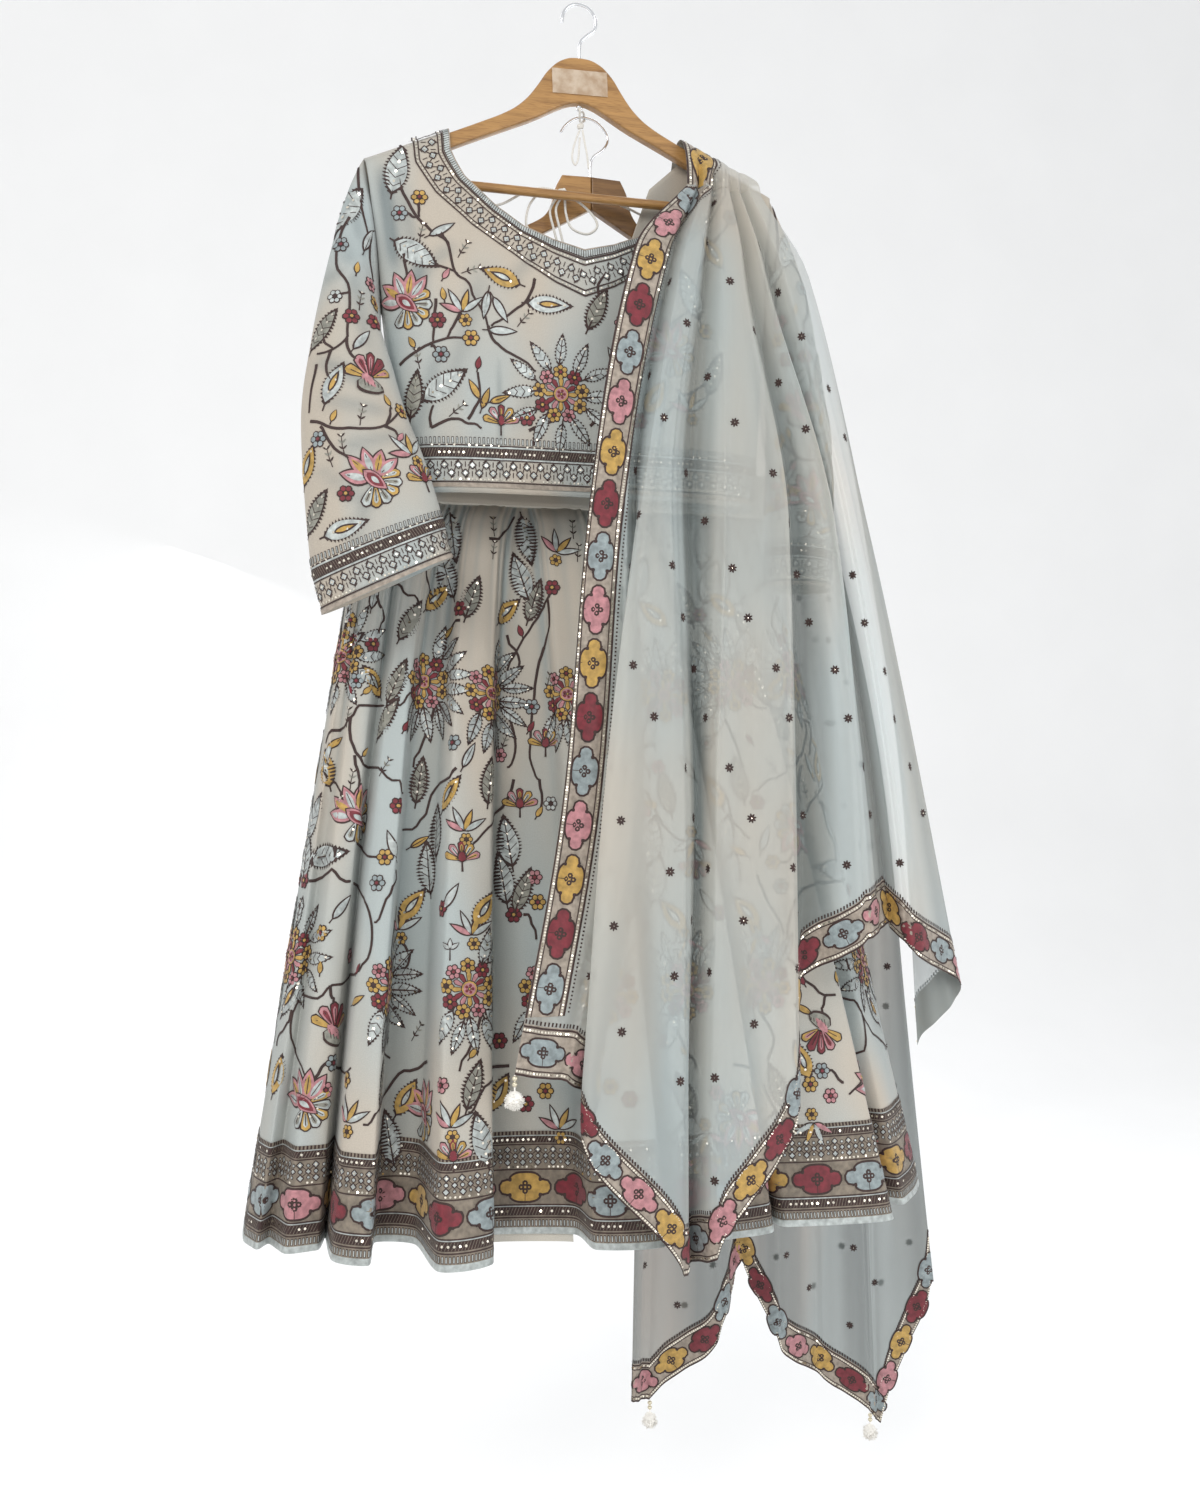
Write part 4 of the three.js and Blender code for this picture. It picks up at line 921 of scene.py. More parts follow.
class Stitching:
    """All that is stitched on one piece, gathered into one mesh."""

    def __init__(self, base=0.35):
        self.base = base
        self.points, self.uv, self.tris, self.mat = [], [], [], []
        self.count = 0

    def add(self, points, uv, tris, mat):
        self.points.append(points)
        self.uv.append(uv)
        self.tris.append(np.asarray(tris) + self.count)
        self.mat.append(mat if isinstance(mat, np.ndarray) else np.full(len(tris), THREADS.index(mat)))
        self.count += len(points)

    def place(self, cloth, motif, c, v, angle=0.0, scale=1.0, flip=False, along=None):
        """Lays a motif on the cloth round (c, v). Its x axis runs level, or along a given direction."""
        whole = Motif()
        whole.put(motif, (0, 0), 0.0, scale, flip)
        xy = whole.xy[0]
        one = np.array([float(c)])
        p, n, dc, dv = (a[0] for a in cloth.frame_at(one, np.array([float(v)])))
        if along is None:
            up = np.array([0.0, 0.0, 1.0])
            y_axis = unit(up - n * (up @ n))
            x_axis = np.cross(y_axis, n)
        else:
            x_axis = unit(along - n * (along @ n))
            y_axis = np.cross(n, x_axis)
        ca, sa = polar(1.0, angle)
        x_axis, y_axis = x_axis * ca + y_axis * sa, y_axis * ca - x_axis * sa
        matrix = np.array([[dc @ x_axis, dv @ x_axis], [dc @ y_axis, dv @ y_axis]])
        ds, dvv = np.linalg.solve(matrix, xy.T)
        vv = np.clip(v + dvv, min(cloth.v[0], cloth.v[-1]), max(cloth.v[0], cloth.v[-1]))
        cc = cloth.shift(np.full(len(xy), float(c)), vv, ds)
        points, normals, _, _ = cloth.frame_at(cc, vv)
        height = self.base + whole.lift[0]
        self.add(points + normals * height[:, None], whole.uv[0], whole.tris[0], whole.mat[0])

    def line(self, points, normals, half, mat, lift=0.2, crown=0.4):
        """A raised strip along points that lie on cloth."""
        along = unit(np.gradient(points, axis=0))
        side = unit(np.cross(normals, along))
        half = np.broadcast_to(np.asarray(half, float), (len(points),))
        rows = [points + side * (w * half)[:, None] + normals * (self.base + lift + up)
                for w, up in ((-1, 0.0), (0, crown), (1, 0.0))]
        uv = [np.stack([run_of(points), w * half], axis=1) for w in (-1, 0, 1)]
        self.add(np.concatenate(rows), np.concatenate(uv), strip_tris(len(points)), mat)

    def stem(self, cloth, c, v):
        """A stem along a path of keys, thinner at its end."""
        points, normals, _, _ = cloth.frame_at(c, v)
        self.line(points, normals, 1.75 * (1 - 0.35 * np.linspace(0, 1, len(points))), "brown")

    def vine(self, cloth, pixels):
        """A stem through pixels, laid on the nearest cloth."""
        c, v = np.array([cloth.find(x, y) for x, y in smooth_path(pixels, 10)[::2]]).T
        fine = [0.0]
        for k in range(len(c) - 1):
            jump = abs(c[k + 1] - c[k]) / (cloth.e_c * 2)
            steps = int(np.clip(jump / 3, 1, 14))
            fine += list(k + np.arange(1, steps + 1) / steps)
        t = np.arange(len(c))
        window = np.array([0.25, 0.5, 0.25])
        if len(c) > 4:
            c[1:-1] = np.convolve(c, window, "valid")
            v[1:-1] = np.convolve(v, window, "valid")
        c, v = np.interp(fine, t, c), np.interp(fine, t, v)
        self.stem(cloth, c, v)
        return c, v

    def strip(self, fn, t, w, mat, lift=0.0):
        """A flat band over the columns t and the rows w of fn(t, w) -> points, normals."""
        tt, ww = np.meshgrid(t, w, indexing="ij")
        points, normals = fn(tt.ravel(), ww.ravel())
        mid = points.reshape(len(t), len(w), 3)[:, len(w) // 2]
        uv = np.stack([np.repeat(run_of(mid), len(w)), ww.ravel()], axis=1)
        quads = grid_faces(len(t), len(w))
        tris = np.concatenate([quads[:, [0, 1, 2]], quads[:, [0, 2, 3]]])
        self.add(points + normals * (self.base + lift), uv, tris, mat)

    def build(self, name, slot, *nodes):
        obj = make_mesh(name, np.concatenate(self.points), np.concatenate(self.tris), uv=np.concatenate(self.uv),
                        mats=[MATS[k] for k in THREADS], index=np.concatenate(self.mat))
        return finish_piece(obj, slot, *nodes)


# ---------- stitched shapes ----------

HALF_PI = math.pi / 2


def leaf(length, width, fill, veins=5, core=None, heavy=0.8):
    """A saw-edged leaf, centred, pointing along x."""
    m = Motif()
    start = (-length / 2, 0)
    steps = 2 * max(6, int(length / 3.8)) + 1
    m.blade(start, 0, length, 1.08 * width, "brown", 0.1, steps, teeth=1, bite=0.36, crown=0.2)
    m.blade((start[0] + 0.06 * length, 0), 0, 0.84 * length, 0.84 * heavy * width, fill, 0.45, 9, crown=0.35)
    if core:
        m.blade((-0.26 * length, 0), 0, 0.52 * length, 0.36 * width, "brown", 0.9, 7, crown=0.1)
        m.blade((-0.2 * length, 0), 0, 0.36 * length, 0.2 * width, core, 1.05, 7, crown=0.1)
    else:
        for k in range(veins):
            x = lerp(-0.34, 0.28, k / max(1, veins - 1)) * length
            reach = width * 0.36 * math.sin(math.pi * min(0.95, (x / length + 0.55)))
            for side in (-1, 1):
                m.ribbon([(x, 0), (x + 0.75 * reach, side * reach)], 0.45, "brown", 0.85, 0.1)
        m.ribbon([(start[0], 0), (0.42 * length, 0)], [1.1, 0.45], "brown", 0.95, 0.15)
    for k in range(max(2, int(length / 14))):
        m.spangle((lerp(-0.25, 0.3, k / max(1, int(length / 14) - 1)) * length, RNG.uniform(-1.2, 1.2)), 1.5)
    m.ribbon([(start[0] - 5, 0), (start[0] + 2, 0)], 0.9, "brown", 0.2, 0.2)
    return m


def blossom(radius, petal, heart="brown", petals=6):
    """A small round flower."""
    m = Motif()
    for k in range(petals):
        a = 2 * math.pi * k / petals
        at = polar(radius * 0.62, a)
        m.dot(at, radius * 0.44, "brown", 0.15, 7, 0.2)
        m.dot(at, radius * 0.29, petal, 0.5, 7, 0.45)
    m.dot((0, 0), radius * 0.34, "brown", 0.75, 7, 0.3)
    if heart != "brown":
        m.dot((0, 0), radius * 0.2, heart, 1.15, 6, 0.3)
    return m


def petal_pair(m, base, angle, length, width, rim, fill, lift, bend=0.0, shape="petal"):
    m.blade(base, angle, length, width, "brown", lift, 9, shape, bend, crown=0.15)
    way = polar(length, angle)
    m.blade(np.array(base) + 0.06 * way, angle, 0.88 * length, 0.76 * width, rim, lift + 0.25, 9, shape, bend)
    m.blade(np.array(base) + 0.16 * way, angle, 0.64 * length, 0.40 * width, fill, lift + 0.6, 7, shape, bend)
    m.ribbon([np.array(base) + 0.2 * way, np.array(base) + 0.72 * way], 0.45, "brown", lift + 1.25, 0.1)


def lotus(radius=38.0):
    """A wide open flower: rosy pointed petals above, rounded yellow and silver ones below, an almond heart."""
    m = Motif()
    for k, a in enumerate(np.radians([172, 142, 112, 82, 54])):
        petal_pair(m, polar(4, a), a, radius * 0.92, radius * 0.46, "pink",
                   "yellow" if k % 2 else "silver", 0.1 + 0.05 * k, shape="leaf")
    for k, a in enumerate(np.radians([26, -4, -32, -60, -88, -116])):
        petal_pair(m, polar(5, a), a, radius * 0.62, radius * 0.36,
                   "yellow" if k % 2 == 0 else "silver", "silver" if k % 2 == 0 else "grey", 0.15 + 0.04 * k)
    turn = math.radians(-38)
    for size, thread, lift in ((1.0, "brown", 1.3), (0.9, "pink", 1.5), (0.68, "maroon", 1.8), (0.34, "silver", 2.2)):
        length = radius * 0.9 * size
        m.blade(polar(-0.5 * length, turn), turn, length, radius * 0.4 * size, thread, lift, 9)
    for a in np.linspace(-2.0, 0.5, 4):
        m.spangle(polar(0.36 * radius, a), 1.2, 1.9)
    return m


def nosegay(spread, reach=68.0, count=11):
    """A tight posy with long saw-edged leaves fanned over the given angles."""
    m = Motif()
    blade = leaf(reach * 0.62, reach * 0.23, "silver", 4, heavy=0.9)
    for k, a in enumerate(np.linspace(*np.radians(spread), count)):
        r = reach * (0.70 + 0.05 * (k % 2))
        m.put(blade, polar(r, a), a + 0.12 * (-1) ** k, 1.0 - 0.1 * (k % 2))
    for k in range(12):
        a = 2 * math.pi * k / 12
        m.blade(polar(4, a), a, 15, 7.2, "brown", 0.4, 6, "petal", crown=0.1)
        m.blade(polar(5, a), a, 13, 5.2, ("yellow", "maroon", "pink")[k % 3], 0.7, 6, "petal")
    m.dot((0, 0), 9.2, "brown", 1.2, 12, 0.1)
    m.dot((0, 0), 8.2, "yellow", 1.35, 12, 0.1)
    m.dot((0, 0), 6.6, "pink", 1.55, 12, 0.1)
    m.put(blossom(5.8, "maroon", "yellow", 5), (0, 0))
    m.lift[-1] = m.lift[-1] + 1.3
    small = [blossom(8.6, "yellow"), blossom(8.6, "maroon", "yellow"), blossom(8.6, "yellow", "maroon"),
             blossom(8.2, "pink", "maroon")]
    for k in range(9):
        a = 2 * math.pi * k / 9 + 0.2
        m.put(small[k % 4], polar(24.5, a), a)
    return m


def rose():
    """A half-open rose from the side, with hatching inside its cup."""
    m = Motif()
    for a, length, width, rim, fill in ((150, 26, 13, "yellow", "yellow"), (118, 26, 14, "pink", "maroon"),
                                        (88, 27, 12, "maroon", "pink"), (58, 27, 13, "maroon", "maroon"),
                                        (28, 24, 12, "yellow", "pink")):
        r = math.radians(a)
        petal_pair(m, polar(3, r) + [0, -6], r, length, width, rim, fill, 0.2)
    m.blade((-13, -8), -0.5, 30, 20, "brown", 0.9, 9, "drop", crown=0.1)
    m.blade((-11.5, -7.6), -0.5, 27, 16, "grey", 1.1, 9, "drop")
    for k in range(6):
        m.ribbon([(-6 + 3.4 * k, -5 - 2.0 * k), (-5 + 3.2 * k, -15 - 0.6 * k)], 0.4, "brown", 1.6, 0.1)
    m.blade((-8, 0), -0.9, 22, 9, "pink", 1.5, 7)
    return m


def bud(fill, length=15.0, width=7.5):
    m = Motif()
    m.blade((-2, 0), 0, length, width, "brown", 0.15, 8, crown=0.15)
    m.blade((-0.8, 0), 0, 0.86 * length, 0.7 * width, fill, 0.4, 8)
    m.ribbon([(-5, 0), (0, 0)], 0.8, "brown", 0.2, 0.2)
    return m


def open_leaf(length=26.0, width=9.0, fill="silver"):
    m = Motif()
    m.blade((-length / 2, 0), 0, length, width, "brown", 0.1, 9, crown=0.2)
    m.blade((-length * 0.42, 0), 0, 0.84 * length, 0.66 * width, fill, 0.4, 8)
    m.ribbon([(-length / 2 - 5, 0), (0.3 * length, 0)], [0.7, 0.35], "brown", 0.8, 0.1)
    return m


def sprig(length=22.0):
    m = Motif()
    m.ribbon([(-length / 2, 0), (0, 0.6), (length / 2, 0)], [0.55, 0.5, 0.3], "brown", 0.15, 0.15)
    for k in range(3):
        x = lerp(-0.2, 0.42, k / 2) * length
        for side in (-1, 1):
            m.blade((x, 0), side * 0.85, 5.6, 2.0, "brown" if (k + side) % 2 else "grey", 0.15, 5, crown=0.2)
    m.spangle((length * 0.5, 0), 1.2)
    return m


def spray(fills=("silver", "yellow", "silver", "pink")):
    """Four long leaves from one point, with a small flower."""
    m = Motif()
    for k, a in enumerate(np.radians([28, 66, 112, 150])):
        m.blade((0, 0), a, 30 - 3 * (k % 2), 9, "brown", 0.1, 8, crown=0.2)
        m.blade(polar(2, a), a, 25 - 3 * (k % 2), 5.6, fills[k], 0.4, 8)
    m.put(blossom(7.5, "yellow"), (2, -9))
    return m


def twig():
    m = Motif()
    m.ribbon([(0, -12), (0, 2)], [0.8, 0.5], "brown", 0.15, 0.2)
    for a in (35, 90, 145):
        r = math.radians(a)
        m.blade((0, 0), r, 12, 6, "brown", 0.15, 7, crown=0.15)
        m.blade(polar(1, r), r, 10, 3.8, "silver", 0.4, 7)
    return m


def star():
    """The scarf's small scattered rosette."""
    m = Motif()
    for k in range(8):
        a = 2 * math.pi * k / 8
        m.blade(polar(0.8, a), a, 4.6, 2.4, "brown", 0.1, 5, "drop", crown=0.35)
    m.dot((0, 0), 1.6, "brown", 0.5, 6, 0.3)
    m.spangle((0, 0), 0.45, 0.9)
    return m


def medallion(fill, length=57.0, width=32.0):
    """A border medallion: a rounded body with a round lobe at each end."""
    m = Motif()
    sides = 36
    a = 2 * math.pi * (np.arange(sides) + 0.5) / sides
    rx, ry = length * 0.33, width / 2
    body = (np.abs(np.cos(a) / rx) ** 2.9 + np.abs(np.sin(a) / ry) ** 2.9) ** (-1 / 2.9)
    lobe_at, lobe_r = length * 0.35, length * 0.15
    inside = lobe_r ** 2 - (lobe_at * np.sin(a)) ** 2
    lobe = np.where(inside > 0, lobe_at * np.abs(np.cos(a)) + np.sqrt(np.maximum(inside, 0)), 0)
    r = np.maximum(body, lobe)
    edge = np.stack([r * np.cos(a), r * np.sin(a)], axis=1)
    rings = [0.001, 0.3, 0.55, 0.78, 0.97]
    xy = np.concatenate([edge * f for f in rings])
    k = np.arange(sides)
    tris = []
    for q in range(len(rings) - 1):
        p0, p1 = q * sides + k, q * sides + (k + 1) % sides
        q0, q1 = p0 + sides, p1 + sides
        tris += [np.stack([p0, q0, q1], axis=1), np.stack([p0, q1, p1], axis=1)]
    lifts = np.concatenate([np.full(sides, h) for h in (0.85, 0.85, 0.85, 0.75, 0.4)])
    m.add(xy, lifts, xy, np.concatenate(tris), fill)
    m.ribbon(np.vstack([edge, edge[:2]]), 1.15, "brown", 0.5, 0.3)
    for q in range(4):
        t = HALF_PI * q
        at = polar(4.2, t)
        m.dot(at, 3.4, "brown", 0.85, 7, 0.3)
        m.dot(at, 1.1, fill, 1.2, 6, 0.2)
    m.ribbon([(0, -width * 0.46), (0, -6)], 0.4, "brown", 0.85, 0.1)
    for sx in (-1, 1):
        for sy in (-1, 1):
            at = (sx * length * 0.27, sy * width * 0.2)
            for turn in (0.5, 1.35):
                m.blade(at, sy * turn if sx > 0 else math.pi - sy * turn, 6.2, 2.5, "brown", 0.85, 5, crown=0.15)
    return m


def diamond(size, fill="silver"):
    """An outlined diamond with a shiny middle."""
    m = Motif()
    h = size / 2
    m.dot((0, 0), h * 0.9, fill, 0.25, 4, 0.25)
    for k in range(4):
        a, b = HALF_PI * k, HALF_PI * (k + 1)
        m.ribbon([polar(h, a), polar(h, b)], 0.62, "brown", 0.4, 0.25)
    return m


def zigzag_cell(pitch=17.0, height=18.0):
    """One repeat of a chain of diamonds, high and low by turns, with slanting stitches between."""
    m = Motif()
    h = height / 2
    for x, y in ((-pitch / 4, 0.45 * h), (pitch / 4, -0.45 * h)):
        m.put(diamond(8.4), (x, y))
        m.ribbon([(x, y + np.sign(y) * 3.6), (x, y + np.sign(y) * 6.4)], 0.45, "brown", 0.15, 0.15)
        m.ribbon([(x, -y * 0.55), (x, -y * 1.9)], 0.45, "brown", 0.15, 0.15)
        m.spangle((x, y), 1.2, 0.8)
    m.ribbon([(-pitch / 4 + 3, 0.25 * h), (pitch / 4 - 3, -0.25 * h)], 0.5, "brown", 0.15, 0.2)
    m.ribbon([(pitch / 4 + 3, -0.25 * h), (3 * pitch / 4 - 3, 0.25 * h)], 0.5, "brown", 0.15, 0.2)
    m.ribbon([(-pitch / 4 - 3.4, 0.75 * h), (-pitch / 4 - 0.5, 1.0 * h)], 0.45, "brown", 0.15, 0.15)
    m.ribbon([(pitch / 4 + 3.4, -0.75 * h), (pitch / 4 + 0.5, -1.0 * h)], 0.45, "brown", 0.15, 0.15)
    return m


def lattice_cell(pitch=17.0, height=22.0):
    """One repeat of the silver net over the skirt's border."""
    m = Motif()
    h = height / 2
    for sx in (-1, 1):
        m.ribbon([(0, h * 0.7), (sx * pitch / 2, 0), (0, -h * 0.7)], 0.55, "brown", 0.2, 0.2)
    for y in (-0.68, 0.68):
        m.put(diamond(7.4), (0, y * h))
        m.dot((pitch / 2, y * h * 0.9), 2.3, "brown", 0.2, 6, 0.2)
        m.dot((pitch / 2, y * h * 0.9), 1.4, "silver", 0.5, 6, 0.2)
    m.put(diamond(6.4), (pitch / 2, 0))
    m.dot((0, 0), 2.9, "brown", 0.2, 7, 0.2)
    m.dot((0, 0), 1.8, "silver", 0.5, 6, 0.3)
    m.ribbon([(0, -h), (0, -0.3 * h)], 0.4, "brown", 0.15, 0.1)
    m.ribbon([(0, 0.3 * h), (0, h)], 0.4, "brown", 0.15, 0.1)
    m.spangle((0, 0.68 * h), 1.2, 0.8)
    return m


class Band:
    """A border laid on cloth: fn(t, w) gives points and normals, w in millimetres from its outer edge."""

    def __init__(self, work, cloth, param, t0, t1, columns, middle):
        self.work, self.cloth, self.param, self.t = work, cloth, param, np.linspace(t0, t1, columns)
        points, _ = self.at(self.t, np.full(columns, float(middle)))
        self.run = run_of(points)
        self.length = self.run[-1]

    def at(self, t, w):
        c, v = self.param(t, w)
        p, n, _, _ = self.cloth.frame_at(c, v)
        return p, n

    def t_at(self, mm):
        return np.interp(mm, self.run, self.t)

    def ground(self, w0, w1, thread, lift, rows=2):
        self.work.strip(self.at, self.t, np.linspace(w0, w1, rows), thread, lift)

    def repeat(self, motifs, pitch, w, scale=1.0):
        """The motifs in turn, about a pitch apart, so that a whole number fits."""
        count = max(1, int(round(self.length / pitch)))
        for k in range(count):
            mm = (k + 0.5) * self.length / count
            t = self.t_at(np.array([mm - 4, mm, mm + 4]))
            points, _ = self.at(t, np.full(3, float(w)))
            c, v = self.param(t[1:2], np.array([float(w)]))
            self.work.place(self.cloth, motifs[k % len(motifs)], c[0], v[0], along=points[2] - points[0], scale=scale)

    def ticks(self, w0, w1, pitch, half, thread="brown", lift=0.1, skew=0.0):
        """Short straight stitches across the band."""
        mm = np.arange(pitch / 2, self.length, pitch)
        t0, t1 = self.t_at(mm), self.t_at(np.clip(mm + skew, 0, self.length))
        a, na = self.at(t0, np.full(len(mm), float(w0)))
        b, nb = self.at(t1, np.full(len(mm), float(w1)))
        side = unit(np.cross(na, b - a)) * half
        up_a, up_b = na * (self.work.base + lift), nb * (self.work.base + lift)
        crown = (na + nb) / 2 * 0.35
        rows = np.stack([a - side + up_a, a + side + up_a, b + side + up_b, b - side + up_b,
                         (a + b) / 2 + (up_a + up_b) / 2 + crown], axis=1)
        uv = np.tile([(0, -half), (0, half), (9, half), (9, -half), (4.5, 0)], (len(mm), 1))
        k = np.arange(len(mm))[:, None, None] * 5
        tris = (k + np.array([[0, 1, 4], [1, 2, 4], [2, 3, 4], [3, 0, 4]])).reshape(-1, 3)
        self.work.add(rows.reshape(-1, 3), uv, tris, thread)

    def spangles(self, w, pitch, radius=1.3, chance=1.0, lift=0.5):
        """Sequins along the band, some left out by chance, each tipped a little."""
        mm = np.arange(pitch / 2, self.length, pitch)
        mm = mm[RNG.random(len(mm)) < chance]
        t = self.t_at(mm)
        p, n = self.at(t, np.full(len(mm), float(w)))
        p2, _ = self.at(self.t_at(mm + 1.0), np.full(len(mm), float(w)))
        x = unit(p2 - p)
        y = np.cross(n, x)
        a = np.arange(6) / 6 * 2 * math.pi
        tip = RNG.uniform(-0.35, 0.35, (len(mm), 2))
        ring = (p[:, None] + n[:, None] * (self.work.base + lift)
                + radius * (np.cos(a)[None, :, None] * (x[:, None] + n[:, None] * tip[:, None, :1])
                            + np.sin(a)[None, :, None] * (y[:, None] + n[:, None] * tip[:, None, 1:])))
        k = np.arange(len(mm))[:, None, None] * 6
        tris = (k + np.array([[0, 1, 2], [0, 2, 3], [0, 3, 4], [0, 4, 5]])).reshape(-1, 3)
        self.work.add(ring.reshape(-1, 3), np.zeros((len(mm) * 6, 2)), tris, "sequin")

# ---------- the cloths ----------

def grid_of(fn, a, b):
    """fn(a, b) at every pair of the two rows of keys, as an array of columns and levels."""
    aa, bb = np.meshgrid(a, b, indexing="ij")
    return fn(aa.ravel(), bb.ravel()).reshape(len(a), len(b), 3)


def drape(name, points, mat, slot, nodes, tone, closed=False, thick=None):
    """A cloth mesh from a (columns, levels, 3) array, with its threads along the arc lengths."""
    across = np.r_[0, np.cumsum(np.linalg.norm(np.diff(points, axis=0), axis=2).mean(axis=1))]
    down = np.r_[0, np.cumsum(np.linalg.norm(np.diff(points, axis=1), axis=2).mean(axis=0))]
    uv = np.stack(np.meshgrid(across, down, indexing="ij"), axis=-1).reshape(-1, 2)
    obj = make_mesh(name, points.reshape(-1, 3), grid_faces(*points.shape[:2], closed), uv=uv, mats=[MATS[mat]],
                    tone=tone)
    if thick:
        shell = obj.modifiers.new("thickness", "SOLIDIFY")
        shell.thickness = thick * MM
        shell.offset = -1.0
    return finish_piece(obj, slot, *nodes)


def fold_painted_light(points, span, out, low=0.25, middle=0.74, gain=0.4):
    """Painted light from how far each point stands out from the mean of its neighbours along the row: points lying back
    get painted shade.
    """
    y = points[..., 1] * out
    window = np.ones(span) / span
    padded = np.pad(y, ((span // 2, span - 1 - span // 2), (0, 0)), mode="edge")
    mean = np.stack([np.convolve(padded[:, k], window, "valid") for k in range(y.shape[1])], axis=1)
    gap = y - mean
    swing = np.sqrt(np.mean(gap ** 2, axis=0, keepdims=True)) + 1.5
    return np.clip(middle + gain * gap / swing, low, 1.0)


# Skirt.
SKIRT = Cloth(skirt_point, 0.0, SIDE_FOLD, SKIRT_HEM_Z, WAIST_Z, 850, 60)
SKIRT_REAR = Cloth(skirt_point, SIDE_FOLD, FOLDS, SKIRT_HEM_Z, WAIST_Z, 640, 60)
for name, c0, c1, columns, out in (("skirt_front", 0.0, SIDE_FOLD, 520, -1),
                                   ("skirt_back", SIDE_FOLD, FOLDS, 380, 1)):
    cc, zz = np.meshgrid(np.linspace(c0, c1, columns), np.linspace(SKIRT_HEM_Z, WAIST_Z, 38), indexing="ij")
    points = skirt_point(cc.ravel(), zz.ravel()).reshape(columns, 38, 3)
    # Painted shade in the pleat valleys.
    tone = fold_painted_light(points, 84, out, 0.4)
    # Painted shade at the top of the deeper folds, under the waistband, fading downwards.
    waist = ease((zz + 980) / 380.0)
    for k in range(FOLDS):
        if 36 < SKIRT_FOLDS[k, 1] < 41 or SKIRT_FOLDS[k, 1] == 84:
            tone = tone - 0.5 * waist * np.exp(-((cc - k) / 0.16) ** 2)
    # Painted shade in the hollows of the small gathers near the waist.
    tone = tone - 0.3 * ease((zz + 850) / 260.0) * np.maximum(0, out * np.sin(cc * 4 * math.pi)) ** 2
    # Painted light on the recessed panel round fold 12.5, which otherwise lies in shade.
    tone = tone + 0.42 * np.exp(-((cc - 12.5) / 0.46) ** 6)
    obj = drape(name, points, "skirt", "skirt_cloth", [name], np.clip(tone, 0.1, 1), thick=0.9)

angle = np.linspace(0, 2 * math.pi, 241)[:-1]
rows = []
for swell, z in ((-1.5, -572.5), (0.2, -571.5), (1.3, -569), (1.3, -524), (0.2, -521.5), (-1.6, -520.6)):
    ca, sa = np.cos(angle), np.sin(angle)
    x = 4 + 217 * ca * (2 - np.abs(ca)) + (28 + swell) * ca
    y = 60 - (28 + swell) * np.sign(sa) * np.abs(sa) ** 0.55
    ripple = 0.45 * np.sin(17 * angle + z / 9) * (1 if swell > 1 else 0)
    rows.append(np.stack([x, y - np.sign(sa) * ripple, np.full_like(x, float(z))], axis=1))
points = np.stack(rows, axis=1)
band = drape("waistband", points, "satin", "satin", ["skirt_waistband"], np.ones(points.shape[:2]), closed=True,
             thick=1.2)
points = grid_of(skirt_point, np.linspace(12.02, 12.98, 24), np.linspace(-1394, -1276, 12)) + [0, 2.6, 0]
flap = drape("skirt_lining", points, "satin", "satin", ["skirt_lining_front"], np.full((24, 12), 0.8))

# Blouse.
columns_u = np.r_[np.linspace(-1, -0.6, 34), np.linspace(-0.597, 0.597, 110), np.linspace(0.6, 1, 34)]


def blouse_rows(side, top, levels=54):
    t = np.linspace(0, 1, levels)
    z = BLOUSE_HEM_Z + (top(columns_u)[:, None] - BLOUSE_HEM_Z) * t
    uu = np.repeat(columns_u[:, None], levels, axis=1)
    return body_point(side, uu.ravel(), z.ravel()).reshape(len(columns_u), levels, 3)


def rear_body(c, z):
    return body_point(1, -c, z)


def front_body(c, z):
    return body_point(-1, c, z)


BLOUSE = Cloth(front_body, -1.0, 1.0, BLOUSE_HEM_Z, BLOUSE_TOP_Z, 400, 90)
BLOUSE_REAR = Cloth(rear_body, -1.0, 1.0, BLOUSE_HEM_Z, BLOUSE_TOP_Z, 400, 90)
for name, side, top in (("blouse_front", -1, front_top), ("blouse_back", 1, back_top)):
    points = blouse_rows(side, top)[::-side]
    hollow = crease(points[..., 0].ravel(), points[..., 2].ravel()).reshape(points.shape[:2])
    # Painted shade in the soft creases: the deeper the crease, the darker.
    obj = drape(name, points, "blouse", "blouse_cloth", [name], np.clip(0.95 - hollow / 5.0, 0.1, 1), thick=1.0)
SLEEVES = {}
for label, table, mirror in (("left", SLEEVE_LEFT, 1), ("right", SLEEVE_RIGHT, -1)):
    def sleeve_fn(c, v, table=table, mirror=mirror):
        return sleeve_point(table, mirror, c, v)

    points = grid_of(sleeve_fn, np.linspace(0, 2 * math.pi, 97)[:-1], np.linspace(0, 1, 58))
    ax = points[..., 0] * mirror
    hollow = crease(ax.ravel(), points[..., 2].ravel()).reshape(ax.shape)
    # Painted shade in the soft creases of the sleeve, as on the body.
    obj = drape(f"sleeve_{label}", points, "blouse", "blouse_cloth", [f"sleeve_{label}"],
                np.clip(0.95 - np.abs(hollow) / 6.0, 0.1, 1), closed=True, thick=1.0)
    SLEEVES[label] = Cloth(sleeve_fn, 0.0, 2 * math.pi, 0.0, 1.0, 300, 120, 0.002)

# Scarf. The rear fall is counted from its outer edge; its inner side is the same cloth seen from the front.
def front_fall(c, z):
    return fall_point(FRONT_FALL, c, z)


def rear_fall(c, z):
    return fall_point(REAR_FALL, -c, z)


def inner_fall(c, z):
    return fall_point(REAR_FALL, c, z)


SCARF = Cloth(front_fall, 0.0, FRONT_LAST, FRONT_LOW, FALL_TOP, 560, 90)
SCARF_REAR = Cloth(rear_fall, -REAR_LAST, 0.0, REAR_LOW, FALL_TOP, 400, 100)
SCARF_INNER = Cloth(inner_fall, 0.0, REAR_LAST, REAR_LOW, FALL_TOP, 400, 100)


